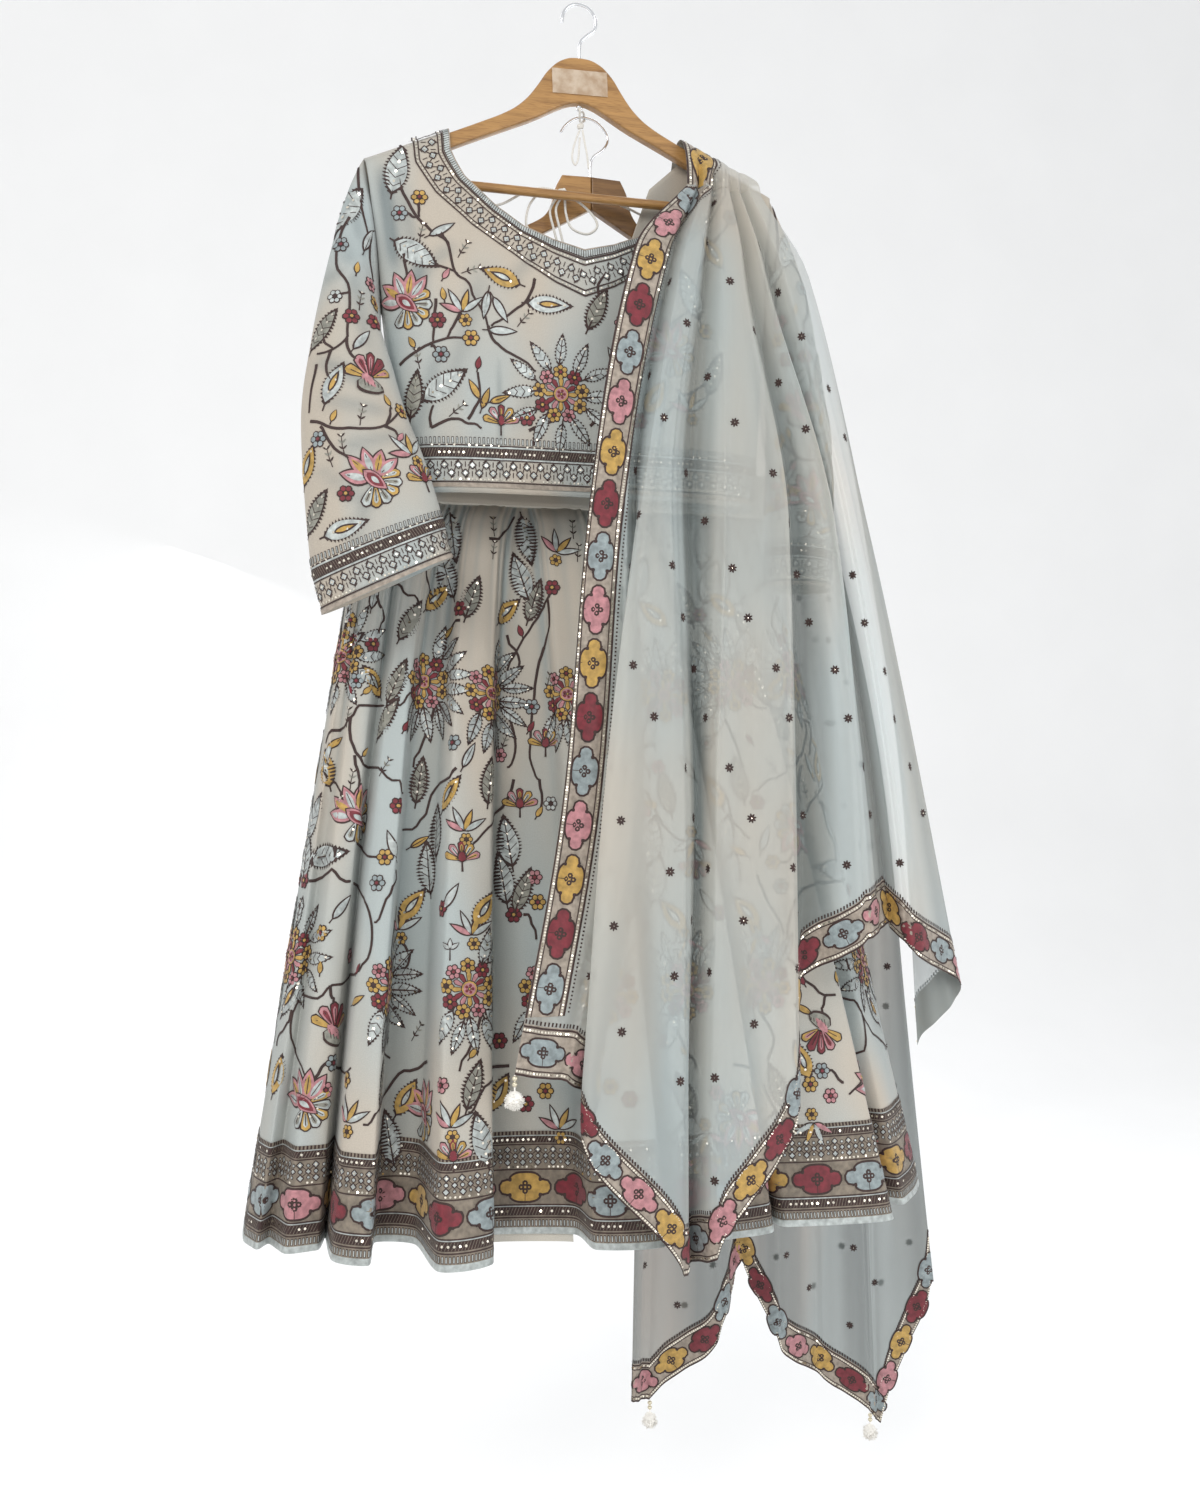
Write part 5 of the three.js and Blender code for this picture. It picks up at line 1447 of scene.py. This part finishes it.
def fall_grid(fn, c0, c1, hem, columns, levels):
    c = np.linspace(c0, c1, columns)
    t = np.linspace(0, 1, levels)
    zz = hem(c)[:, None] + (FALL_TOP - hem(c))[:, None] * t
    return fn(np.repeat(c, levels), zz.ravel()).reshape(columns, levels, 3)


def front_hem(c):
    return hem_at(FRONT_FALL, c)


def rear_hem(c):
    return hem_at(REAR_FALL, -c)


def inner_hem(c):
    return hem_at(REAR_FALL, c)


points = fall_grid(front_fall, 0.0, FRONT_LAST, front_hem, 430, 64)
# Painted shade in the fold valleys, stronger further down the fall.
depth = ease((-points[..., 2] - 230) / 420)
tone = lerp(0.86, fold_painted_light(points, 70, -1, 0.0, 0.66, 0.55), 0.35 + 0.65 * depth)
obj = drape("scarf_front", points, "sheer", "scarf_cloth",
            ["scarf_front_edge", "scarf_front_middle", "scarf_front_outer"], tone)
# The rear fall takes the darker, painted-shade copy of the scarf cloth, with painted shade in its fold valleys too.
points = fall_grid(rear_fall, -REAR_LAST, 0.0, rear_hem, 320, 70)
obj = drape("scarf_rear", points, "sheer_rear_painted_shade", "scarf_cloth", ["scarf_rear_left", "scarf_rear_right"],
            fold_painted_light(points, 90, 1, 0.2, 0.6, 0.5))
SADDLE = Cloth(saddle_point, 0.0, FRONT_LAST, 0.0, math.pi, 400, 60, 0.004)
points = grid_of(saddle_point, np.linspace(0, FRONT_LAST, 200), np.linspace(0, math.pi, 40))
obj = drape("scarf_shoulder", points, "sheer", "scarf_cloth", ["scarf_shoulder"], np.full((200, 40), 0.9))

# ---------- embroidery of the blouse ----------

def fan():
    """A half flower seen from the side."""
    m = Motif()
    for k, a in enumerate(np.radians([160, 125, 90, 55, 20])):
        petal_pair(m, polar(2, a) + [0, -4], a, 20, 10, ("yellow", "pink", "maroon")[k % 3],
                   "silver" if k % 2 else "yellow", 0.2)
    m.blade((0, -6), HALF_PI, 14, 12, "brown", 0.9, 8, "drop", crown=0.1)
    m.blade((0, -5), HALF_PI, 11, 8, "maroon", 1.2, 8, "drop")
    m.ribbon([(0, -16), (0, -4)], [1.2, 0.8], "brown", 0.3)
    return m


SHAPES = {
    "S": leaf(62, 29, "silver", heavy=0.95), "D": leaf(56, 24, "grey"),
    "Y": leaf(48, 23, "yellow", 5, "silver", 1.02), "C": leaf(54, 23, "silver", 5, "yellow", 0.95),
    "l": open_leaf(34, 11, "silver"), "k": open_leaf(26, 9, "yellow"), "g": open_leaf(30, 10, "grey"),
    "fy": blossom(9.5, "yellow", "maroon"), "fm": blossom(9.5, "maroon", "yellow"),
    "fp": blossom(9.0, "pink", "maroon"), "fb": blossom(9.5, "blue", "maroon"), "fg": blossom(8.5, "silver"),
    "by": bud("yellow"), "bm": bud("maroon"), "bp": bud("pink"), "bb": bud("blue"), "lotus": lotus(), "rose": rose(),
    "sprig": sprig(), "trio": spray(), "fan": fan(), "twig": twig(), "posy": nosegay((-125, 65), 70, 11),
    "sun": nosegay((0, 330), 66, 12),
}

BLOUSE_SHAPES = [
    ("S", 397, 168, 78), ("fy", 419, 199, 0), ("fb", 399, 212, 0), ("l", 442, 229, 30), ("sprig", 422, 234, 80),
    ("sprig", 463, 249, 60), ("sprig", 471, 270, 20), ("sprig", 524, 318, 50), ("sprig", 418, 361, 100),
    ("sprig", 457, 409, 40), ("Y", 501, 277, 160), ("C", 550, 304, 0), ("l", 500, 309, -60), ("l", 486, 304, -100),
    ("l", 502, 332, 0), ("D", 598, 308, 65), ("lotus", 407, 304, 0), ("S", 416, 252, -32), ("fy", 471, 337, 0),
    ("trio", 462, 311, 10), ("fm", 438, 320, 0), ("bp", 444, 279, 60), ("by", 444, 297, 100), ("fb", 441, 356, 0),
    ("by", 414, 348, 120), ("sun", 561, 396, 0), ("S", 445, 386, 35), ("D", 414, 394, 80), ("bm", 478, 367, 80),
    ("k", 475, 391, 120), ("k", 486, 399, 70), ("k", 500, 401, 20), ("fan", 501, 422, 0), ("fm", 527, 420, 0),
    ("C", 640, 345, 100), ("fp", 622, 322, 0), ("Y", 655, 398, 60), ("fb", 655, 300, 0), ("lotus", 672, 352, 20),
    ("S", 690, 295, 110), ("fm", 640, 420, 0), ("trio", 690, 410, 10), ("l", 615, 360, 120), ("fy", 706, 330, 0),
    ("D", 715, 372, 70), ("Y", 713, 250, 120), ("fb", 730, 218, 0),
]
BLOUSE_STEMS = [
    [(399, 175), (403, 192), (417, 217), (429, 229), (447, 242), (455, 272), (468, 282), (474, 297), (483, 311),
     (488, 326)],
    [(535, 277), (530, 295), (514, 311), (491, 326)], [(399, 364), (433, 343), (464, 336)],
    [(431, 428), (452, 418), (468, 423), (482, 427)], [(468, 421), (475, 408), (480, 396), (478, 372)],
    [(529, 430), (559, 420)], [(488, 326), (498, 345), (520, 358), (536, 372)],
    [(590, 425), (618, 405), (636, 372), (642, 350)], [(642, 372), (665, 330), (690, 310)],
    [(660, 428), (678, 400), (704, 385), (716, 360)], [(700, 270), (712, 245), (728, 225)],
    [(436, 300), (434, 322), (433, 342)], [(461, 312), (454, 325), (447, 337)], [(402, 213), (410, 215), (418, 218)],
    [(418, 203), (419, 210), (419, 217)], [(441, 231), (444, 238), (449, 244)], [(403, 252), (406, 268), (408, 284)],
    [(413, 257), (430, 262), (458, 273)], [(431, 345), (436, 348), (440, 352)], [(431, 427), (430, 416), (434, 404)],
    [(600, 300), (598, 285), (606, 274)],
]
SLEEVE_SHAPES = [
    ("fm", 352, 316, 0), ("fg", 335, 297, 0), ("D", 324, 328, 60), ("l", 362, 339, 50), ("sprig", 361, 301, 80),
    ("fp", 373, 284, 0), ("fy", 377, 303, 0), ("fm", 376, 322, 0), ("by", 357, 272, 80), ("rose", 370, 373, 0),
    ("C", 333, 382, 70), ("lotus", 375, 480, 0), ("fy", 402, 411, 0), ("by", 390, 405, 110), ("bp", 399, 440, 60),
    ("by", 332, 420, 70), ("sprig", 362, 416, 80), ("sprig", 343, 443, 100), ("sprig", 330, 458, 110),
    ("Y", 307, 463, 70), ("D", 316, 512, 60), ("trio", 412, 456, 30), ("fan", 424, 478, 10), ("S", 350, 205, 65),
    ("fb", 341, 245, 0), ("l", 368, 240, 60), ("fm", 345, 492, 0), ("C", 346, 528, 20), ("fb", 318, 440, 0),
]
SLEEVE_STEMS = [
    [(350, 217), (341, 234), (336, 264), (350, 289), (348, 324), (346, 339), (330, 351), (317, 354)],
    [(357, 166), (360, 200), (368, 234)], [(346, 339), (351, 354), (362, 361), (368, 366)],
    [(330, 351), (326, 369), (331, 380)], [(317, 364), (311, 390), (309, 413)],
    [(333, 294), (341, 294), (349, 292)], [(324, 326), (324, 342), (333, 348)], [(386, 426), (390, 416), (391, 407)],
    [(384, 426), (394, 430), (399, 438)], [(372, 232), (370, 258), (376, 282)],
    [(310, 420), (332, 427), (360, 428), (385, 426), (399, 412)], [(320, 425), (335, 448), (357, 463), (370, 470)],
]


def embroider(cloth, work, shapes, stems, others=()):
    """Lays the shapes and stems by their place in the picture. Each of the others is a second cloth, its work, a map
    from the first cloth's keys and whether the shapes are turned over there."""
    for name, x, y, degrees in shapes:
        c, v = cloth.find(x, y)
        turn = math.radians(degrees)
        work.place(cloth, SHAPES[name], c, v, turn)
        for other, other_work, carry, flip in others:
            other_work.place(other, SHAPES[name], *carry(c, v), -turn if flip else turn, flip=flip)
    for stem in stems:
        c, v = work.vine(cloth, stem)
        for other, other_work, carry, _ in others:
            other_work.stem(other, *carry(c, v))


def garment_trim(band):
    """Hem and cuff trim, from its lower edge up: piping, diamonds, a dark line and a fringe of stitches."""
    band.ground(0.0, 4.6, "taupe", 0.6, 3)
    band.ground(5.2, 6.6, "brown", 0.3)
    band.spangles(8.6, 4.4, 1.2, 0.75)
    band.repeat([zigzag_cell(15, 19)], 15.0, 19.5)
    band.ground(29.4, 30.6, "brown", 0.3)
    band.ground(30.6, 32.2, "silver", 0.35)
    band.ground(32.6, 42.6, "brown", 0.3, 3)
    band.ticks(33.2, 42.0, 3.0, 0.24, "umber", 0.4, 3.4)
    band.spangles(37.5, 5.2, 1.4, 0.6, 0.8)
    band.ground(43.0, 44.6, "silver", 0.35)
    band.ground(44.8, 46.2, "brown", 0.3)
    band.spangles(45.5, 8.0, 1.2, 0.8, 0.7)
    band.ticks(47.2, 54.4, 4.8, 1.25)
    band.ticks(47.6, 53.6, 4.8, 0.7, "silver", 0.3)


front_work, rear_work = Stitching(), Stitching()
embroider(BLOUSE, front_work, BLOUSE_SHAPES, BLOUSE_STEMS, [(BLOUSE_REAR, rear_work, lambda c, v: (-c, v), True)])

LOW_CURVE = np.array(NECK_LOW + [(0.775, -173.0)], float)
HIGH_CURVE = np.array(NECK + [(0.6, BLOUSE_TOP_Z)], float)


def along_curve(curve, t):
    run = np.r_[0, np.cumsum(np.hypot(np.diff(curve[:, 0]) * 235, np.diff(curve[:, 1])))]
    return np.interp(t * run[-1], run, curve[:, 0]), np.interp(t * run[-1], run, curve[:, 1])


def neck_param(t, w):
    s = np.abs(t)
    lu, lz = along_curve(LOW_CURVE, s)
    hu, hz = along_curve(HIGH_CURVE, s)
    f = w / 44.0
    return np.where(t < 0, -1, 1) * lerp(lu, hu, f), lerp(lz, hz, f)


def trim_param(t, w):
    return t, TRIM_Z + w


neck_work = Stitching(0.5)
neck = Band(neck_work, BLOUSE, neck_param, -1, 1, 260, 20)
neck.ground(0.0, 1.8, "brown", 0.3)
neck.spangles(3.4, 4.0, 1.3, 0.85)
neck.ground(5.2, 6.6, "brown", 0.25)
neck.repeat([zigzag_cell(17, 19)], 17.0, 17.5)
neck.ground(28.6, 30.0, "brown", 0.25)
neck.spangles(31.6, 4.0, 1.2, 0.85)
neck.ground(33.4, 35.2, "brown", 0.3)
neck.ground(35.8, 42.8, "brown", 0.1, 3)
neck.ticks(36.6, 42.6, 3.0, 0.95, "silver", 0.35)
neck.ground(42.8, 44.0, "taupe", 0.5)
neck_work.build("neck_band", "embroidered_band", "neck_band_front")
for cloth, way in ((BLOUSE, "front"), (BLOUSE_REAR, "back")):
    band_work = Stitching(0.5)
    garment_trim(Band(band_work, cloth, trim_param, -0.995, 0.995, 200, 25))
    band_work.build(f"hem_trim_{way}", "embroidered_band", f"hem_band_{way}")


def cuff_param(t, w):
    return t, 1.0 - w * 0.09 / 57.0


def map_sleeve(c, v):
    return (2 * math.pi - c), v


front_work.build("blouse_front_stitching", "blouse_cloth")
rear_work.build("blouse_back_stitching", "blouse_cloth")
left_cloth, right_cloth = SLEEVES["left"], SLEEVES["right"]
left_work, right_work = Stitching(), Stitching()
embroider(left_cloth, left_work, SLEEVE_SHAPES, SLEEVE_STEMS,
          [(left_cloth, left_work, map_sleeve, True), (right_cloth, right_work, lambda c, v: (c, v), True),
           (right_cloth, right_work, map_sleeve, False)])
for label, cloth, work in (("left", left_cloth, left_work), ("right", right_cloth, right_work)):
    work.build(f"sleeve_{label}_stitching", "blouse_cloth")
    cuff_work = Stitching(0.5)
    garment_trim(Band(cuff_work, cloth, cuff_param, 0.0, 2 * math.pi, 160, 25))
    cuff_work.build(f"cuff_trim_{label}", "embroidered_band", f"cuff_band_{label}")

# ---------- embroidery of the skirt ----------

SKIRT_SHAPES = [
    ("S", 453, 541, -80), ("S", 447, 573, 110), ("S", 527, 537, -80), ("S", 520, 578, 110), ("Y", 437, 602, 40),
    ("Y", 506, 610, 40), ("D", 473, 600, 70), ("D", 535, 600, 70), ("fm", 459, 610, 0), ("fm", 552, 583, 0),
    ("sprig", 494, 530, 90), ("sprig", 494, 553, 80), ("sprig", 573, 530, 90), ("sprig", 578, 553, 80),
    ("trio", 557, 548, -20), ("D", 411, 622, 60), ("sun", 313, 655, 0), ("C", 350, 640, 30), ("fm", 375, 640, 0),
    ("Y", 378, 687, 130), ("D", 397, 679, 70), ("D", 382, 714, 60), ("posy", 424, 684, 0), ("posy", 495, 690, 0),
    ("posy", 568, 696, 0), ("fb", 356, 677, 0), ("fb", 531, 711, 0), ("by", 364, 695, 40), ("bm", 351, 695, 120),
    ("by", 364, 754, 40), ("by", 300, 765, 90), ("bm", 528, 728, 60), ("sprig", 345, 714, 90), ("k", 336, 739, 30),
    ("Y", 324, 762, 110), ("sprig", 384, 766, 60), ("sprig", 352, 780, 80), ("bm", 405, 734, 60), ("D", 420, 776, 80),
    ("D", 491, 784, 80), ("sprig", 548, 686, 80), ("fan", 545, 744, 0), ("S", 306, 811, 70), ("lotus", 362, 822, 0),
    ("fy", 385, 861, 0), ("fb", 377, 885, 0), ("S", 301, 853, 100), ("S", 322, 861, 10), ("fm", 300, 884, 0),
    ("l", 343, 912, 50), ("fy", 320, 931, 0), ("fp", 350, 952, 0), ("bm", 353, 974, 60), ("by", 319, 976, 90),
    ("sun", 278, 956, 0), ("Y", 447, 792, 60), ("S", 435, 831, 100), ("fm", 399, 802, 0), ("fan", 519, 801, 0),
    ("S", 507, 841, 100), ("trio", 465, 836, 0), ("fan", 463, 860, 0), ("fg", 551, 801, 0), ("by", 538, 821, 60),
    ("S", 429, 868, 100), ("S", 502, 878, 100), ("Y", 412, 904, 50), ("Y", 485, 909, 50), ("fm", 438, 912, 0),
    ("fm", 513, 919, 0), ("D", 524, 888, 70), ("l", 451, 899, 60), ("trio", 399, 928, 0), ("trio", 473, 931, 0),
    ("fp", 535, 878, 0), ("fy", 537, 902, 0), ("posy", 394, 986, 0), ("posy", 470, 988, 0), ("twig", 450, 949, 0),
    ("posy", 548, 990, 0), ("rose", 338, 1029, 0), ("fb", 334, 1060, 0), ("fy", 348, 1076, 0), ("fp", 327, 1095, 0),
    ("Y", 276, 1068, 80), ("lotus", 306, 1110, 0), ("lotus", 419, 1117, 0), ("D", 380, 1078, 70),
    ("D", 473, 1084, 70), ("Y", 406, 1092, 60), ("Y", 499, 1094, 60), ("S", 389, 1134, 100), ("S", 482, 1137, 100),
    ("trio", 346, 1117, 0), ("trio", 450, 1125, 0), ("trio", 558, 1127, 0), ("fan", 454, 1149, 0),
    ("fp", 440, 1086, 0), ("fy", 546, 1086, 0), ("fm", 527, 1100, 0), ("Y", 802, 1062, 110), ("lotus", 857, 1085, 0),
    ("C", 285, 1000, 60), ("fg", 283, 906, 0), ("k", 448, 634, 40), ("bm", 522, 636, 110), ("sprig", 505, 742, 70),
    ("fb", 452, 742, 0), ("l", 470, 758, 60), ("fp", 500, 758, 0), ("k", 420, 842, 30), ("l", 392, 838, 110),
    ("sprig", 336, 800, 70), ("sprig", 416, 1030, 60), ("fm", 500, 1040, 0), ("by", 470, 1052, 50),
    ("l", 300, 744, 70), ("sprig", 322, 600, 60), ("fy", 352, 616, 0), ("l", 374, 600, 80), ("k", 356, 1000, 30),
]
SKIRT_STEMS = [
    [(392, 579), (408, 592), (423, 604)], [(377, 594), (386, 617), (378, 635)], [(546, 594), (548, 622), (544, 645)],
    [(489, 538), (504, 534), (516, 515)],
    [(313, 739), (336, 729), (351, 716), (364, 704), (377, 700), (400, 701), (416, 691)],
    [(351, 716), (350, 734), (358, 755), (377, 770), (400, 783), (405, 795)],
    [(544, 645), (536, 680), (532, 720), (530, 757), (539, 780)], [(355, 760), (360, 780), (357, 800)],
    [(399, 875), (389, 895), (373, 926)],
    [(308, 878), (331, 873), (355, 885), (370, 919), (370, 949), (353, 976), (328, 990), (304, 997), (292, 1017),
     (294, 1047), (309, 1085)],
    [(331, 990), (335, 1002), (333, 1013)], [(456, 767), (433, 790), (424, 817), (406, 834)],
    [(514, 784), (500, 811), (473, 841)], [(524, 909), (534, 926), (537, 943)], [(313, 1074), (330, 1068), (348, 1072)],
    [(424, 1063), (399, 1074), (379, 1112), (362, 1127)], [(510, 1061), (485, 1085), (470, 1118)],
    [(267, 1044), (284, 1027), (292, 1012)], [(539, 780), (542, 800), (539, 820)], [(459, 614), (446, 636), (434, 662)],
    [(552, 590), (528, 630), (508, 668)], [(436, 706), (424, 738), (414, 764)], [(508, 712), (516, 744), (508, 772)],
    [(398, 1008), (384, 1036), (392, 1062)], [(484, 1010), (474, 1040), (460, 1064)],
    [(322, 770), (338, 788), (352, 806)],
    [(300, 600), (318, 622), (340, 634)], [(436, 540), (428, 570), (434, 598)], [(360, 846), (372, 858), (382, 862)],
    [(440, 640), (452, 660), (446, 676)], [(508, 640), (520, 662), (512, 680)], [(396, 940), (410, 955), (402, 970)],
]
# The right half, under the scarf, carries like shapes, turned over.
MIDDLE_PX = 579
hidden = [(name, 2 * MIDDLE_PX - x, y + 4, 180 - degrees) for name, x, y, degrees in SKIRT_SHAPES
          if x < 556 and not (name in ("Y", "lotus") and y in (1068, 1110))]
hidden_stems = [[(2 * MIDDLE_PX - x, y + 4) for x, y in stem] for stem in SKIRT_STEMS]
front_work, rear_work = Stitching(), Stitching()


def map_skirt(c, v):
    return FOLDS - c * (FOLDS - SIDE_FOLD) / SIDE_FOLD, v


embroider(SKIRT, front_work, SKIRT_SHAPES + hidden, SKIRT_STEMS + hidden_stems,
          [(SKIRT_REAR, rear_work, map_skirt, True)])
front_work.build("skirt_front_stitching", "skirt_cloth")
rear_work.build("skirt_back_stitching", "skirt_cloth")
CYCLE = [medallion(k) for k in ("blue", "pink", "yellow", "maroon")]


def skirt_param(t, w):
    return t, SKIRT_HEM_Z + w


for cloth, c0, c1, columns, name in ((SKIRT, 0.02, SIDE_FOLD - 0.02, 840, "skirt_border_front"),
                                     (SKIRT_REAR, SIDE_FOLD + 0.02, FOLDS - 0.02, 640, "skirt_border_back")):
    work = Stitching(0.5)
    band = Band(work, cloth, skirt_param, c0, c1, columns, 50)
    band.ground(0, 109, "umber", 0.0, 7)
    band.ground(0, 7, "silver", 0.25)
    band.ticks(8, 15, 3.8, 1.2, "brown", 0.15)
    band.ticks(8.6, 14.2, 3.8, 0.6, "silver", 0.35)
    band.ground(16.5, 18, "brown", 0.3)
    band.ground(19.5, 28.5, "brown", 0.3, 3)
    band.ticks(20, 28, 3.4, 0.24, "umber", 0.4, 3.4)
    band.ground(28.8, 29.8, "silver", 0.35)
    band.spangles(24, 6.0, 1.5, 0.5, 0.8)
    band.ground(30, 31.4, "brown", 0.3)
    band.repeat(CYCLE, 60.0, 49.5)
    band.ground(67.5, 68.9, "brown", 0.3)
    band.spangles(71, 5.0, 1.3, 0.7)
    band.repeat([lattice_cell(17, 20)], 17.0, 82.5)
    band.ground(94, 95.4, "brown", 0.3)
    band.ground(96.5, 103.5, "brown", 0.3, 3)
    band.ticks(97, 103, 3.4, 0.24, "umber", 0.4, 3.0)
    band.ground(103.7, 104.7, "silver", 0.35)
    band.spangles(100, 6.0, 1.5, 0.5, 0.8)
    band.ticks(105, 109, 4.2, 1.0, "brown", 0.15)
    work.build(name, "embroidered_band", name)

# ---------- embroidery of the scarf ----------

BUTTI = star()  # ten millimetres across


def scatter(cloth, hem, work, step=108.0, edge=58.0):
    """Rows of small rosettes, each row half a step along from the last."""
    lo, hi = cloth.v.min(), cloth.v.max()
    rows_z = np.arange(FALL_TOP - 20, lo, -step / 2)
    for k, z in enumerate(rows_z):
        level = int(np.argmin(np.abs(cloth.v - z)))
        total = cloth.arc[level][-1]
        for s in np.arange(edge + (step / 2 if k % 2 else 8), total - 16, step):
            c = float(np.interp(s, cloth.arc[level], cloth.c))
            if z > hem(np.array([c]))[0] + 82:
                work.place(cloth, BUTTI, c, z, angle=RNG.uniform(0, 0.8))


def scarf_border(band, first, width, rows, dark, pitch, middle, scale, sequins, fringe):
    """Medallions on a taupe ground between dark lines and rows of sequins, with a fringe of stitches."""
    band.ground(0, width, "taupe", 0.0, rows)
    for w0, w1 in dark:
        band.ground(w0, w1, "brown", 0.25)
    band.repeat(CYCLE[first:] + CYCLE[:first], pitch, middle, scale)
    for w in sequins:
        band.spangles(w, 3.2, 1.3)
    band.ticks(*fringe, 0.9)


def end_band(cloth, hem, c0, c1, columns, work, first=0):
    def param(t, w):
        return t, hem(t) + w

    scarf_border(Band(work, cloth, param, c0, c1, columns, 26), first, 50, 8,
                 ((0, 2.2), (6, 7.2), (41.5, 42.8), (46.8, 48.8)), 53, 25, 0.88, (4.2, 44.6), (50.5, 54.5, 4.0))


def long_band(cloth, z0, z1, work, first=0, rows=300):
    """The border down the scarf's long side; w goes in from the edge."""
    def param(t, w):
        return cloth.shift(np.zeros(len(t)), t, w), t

    scarf_border(Band(work, cloth, param, z0, z1, rows, 22), first, 43, 16,
                 ((0, 2.2), (6, 7.2), (35.8, 37), (40.8, 43)), 58, 21.5, 0.92, (4.0, 38.9), (45.5, 47.5, 4.2))


buttis = Stitching(0.2)
scatter(SCARF, front_hem, buttis)
buttis.build("scarf_front_stitching", "scarf_cloth")
buttis = Stitching(0.2)
scatter(SCARF_REAR, rear_hem, buttis, edge=20)
scatter(SCARF_INNER, inner_hem, buttis, edge=20)
buttis.build("scarf_rear_stitching", "scarf_cloth")
work = Stitching(0.35)
long_band(SCARF, FALL_TOP - 2, -1128.0, work)
long_band(SADDLE, math.pi - 0.05, 0.0, work, 1, 120)
work.build("scarf_long_border", "embroidered_band", "scarf_long_border_front")
work = Stitching(0.35)
end_band(SCARF, front_hem, 0.01, 12.99, 640, work)
work.build("scarf_end_border", "embroidered_band",
           "scarf_end_border_edge", "scarf_end_border_middle", "scarf_end_border_outer")
work = Stitching(0.35)
end_band(SCARF_REAR, rear_hem, -7.99, -0.01, 420, work, 2)
end_band(SCARF_INNER, inner_hem, 0.01, 7.99, 420, work, 1)
work.build("scarf_rear_border", "embroidered_band", "scarf_rear_border_left", "scarf_rear_border_right")

# ---------- tassels ----------

def ball(centre, radius, squash=1.0, sides=14, rings=9):
    a = np.linspace(0, 2 * math.pi, sides + 1)[:-1]
    b = np.linspace(0.02, math.pi - 0.02, rings)
    aa, bb = np.meshgrid(a, b, indexing="ij")
    points = np.stack([np.sin(bb) * np.cos(aa), np.sin(bb) * np.sin(aa), squash * np.cos(bb)], axis=-1) * radius
    return points.reshape(-1, 3) + centre, grid_faces(sides, rings, True)


def tassel(name, top, node_name):
    """A thread with beads and a soft wool ball of cut strands under it."""
    top = np.array(top, float)
    points, quads, index, count = [], [], [], 0

    def take(p, q, mat):
        nonlocal count
        points.append(p)
        quads.append(q + count)
        index.append(np.full(len(q), mat))
        count += len(p)

    for drop, r in ((3.6, 3.0), (9.6, 3.0)):
        take(*ball(top - [0, 0, drop], r, 0.95), 1)
    a = np.linspace(0, 2 * math.pi, 9)[:-1]
    tube = np.stack([np.stack([0.9 * np.cos(a), 0.9 * np.sin(a), np.full(8, -d)], axis=1)
                     for d in (0.0, 8, 17)], axis=1)
    take(tube.reshape(-1, 3) + top, grid_faces(8, 3, True), 0)
    take(*ball(top - [0, 0, 25.5], 8.4, 1.1), 0)
    for _ in range(340):
        way = unit(RNG.normal(size=3))
        way[2] -= 0.25
        way = unit(way)
        bend = RNG.normal(size=3) * 0.9
        reach = RNG.uniform(8.8, 10.0)
        path = [top + [0, 0, -24.8] + way * reach * f + bend * f * f + np.array([0, 0, -1.6]) * f * f
                for f in (0.62, 0.8, 1.0)]
        side = unit(np.cross(way, [0.3, 0.2, 1.0]))
        other = unit(np.cross(way, side))
        ring = []
        for f, p in enumerate(path):
            w = (0.75, 0.7, 0.5)[f]
            ring.append([p + w * side, p + w * (-0.5 * side + 0.87 * other), p + w * (-0.5 * side - 0.87 * other)])
        grid = np.array(ring).transpose(1, 0, 2)
        take(grid.reshape(-1, 3), grid_faces(3, 3, True), 0)
    obj = make_mesh(name, np.concatenate(points), np.concatenate(quads), uv=np.zeros((count, 2)),
                    mats=[MATS["wool"], MATS["bead"]], index=np.concatenate(index))
    return finish_piece(obj, "tassel", node_name)


tassel("tassel_front", (-110.8, -173, -1183.5), "tassel_front")
tassel("tassel_rear_left", (142, 186.6, -1702.5), "tassel_rear_left")
tassel("tassel_rear_right", (448.6, 172, -1749.4), "tassel_rear_right")
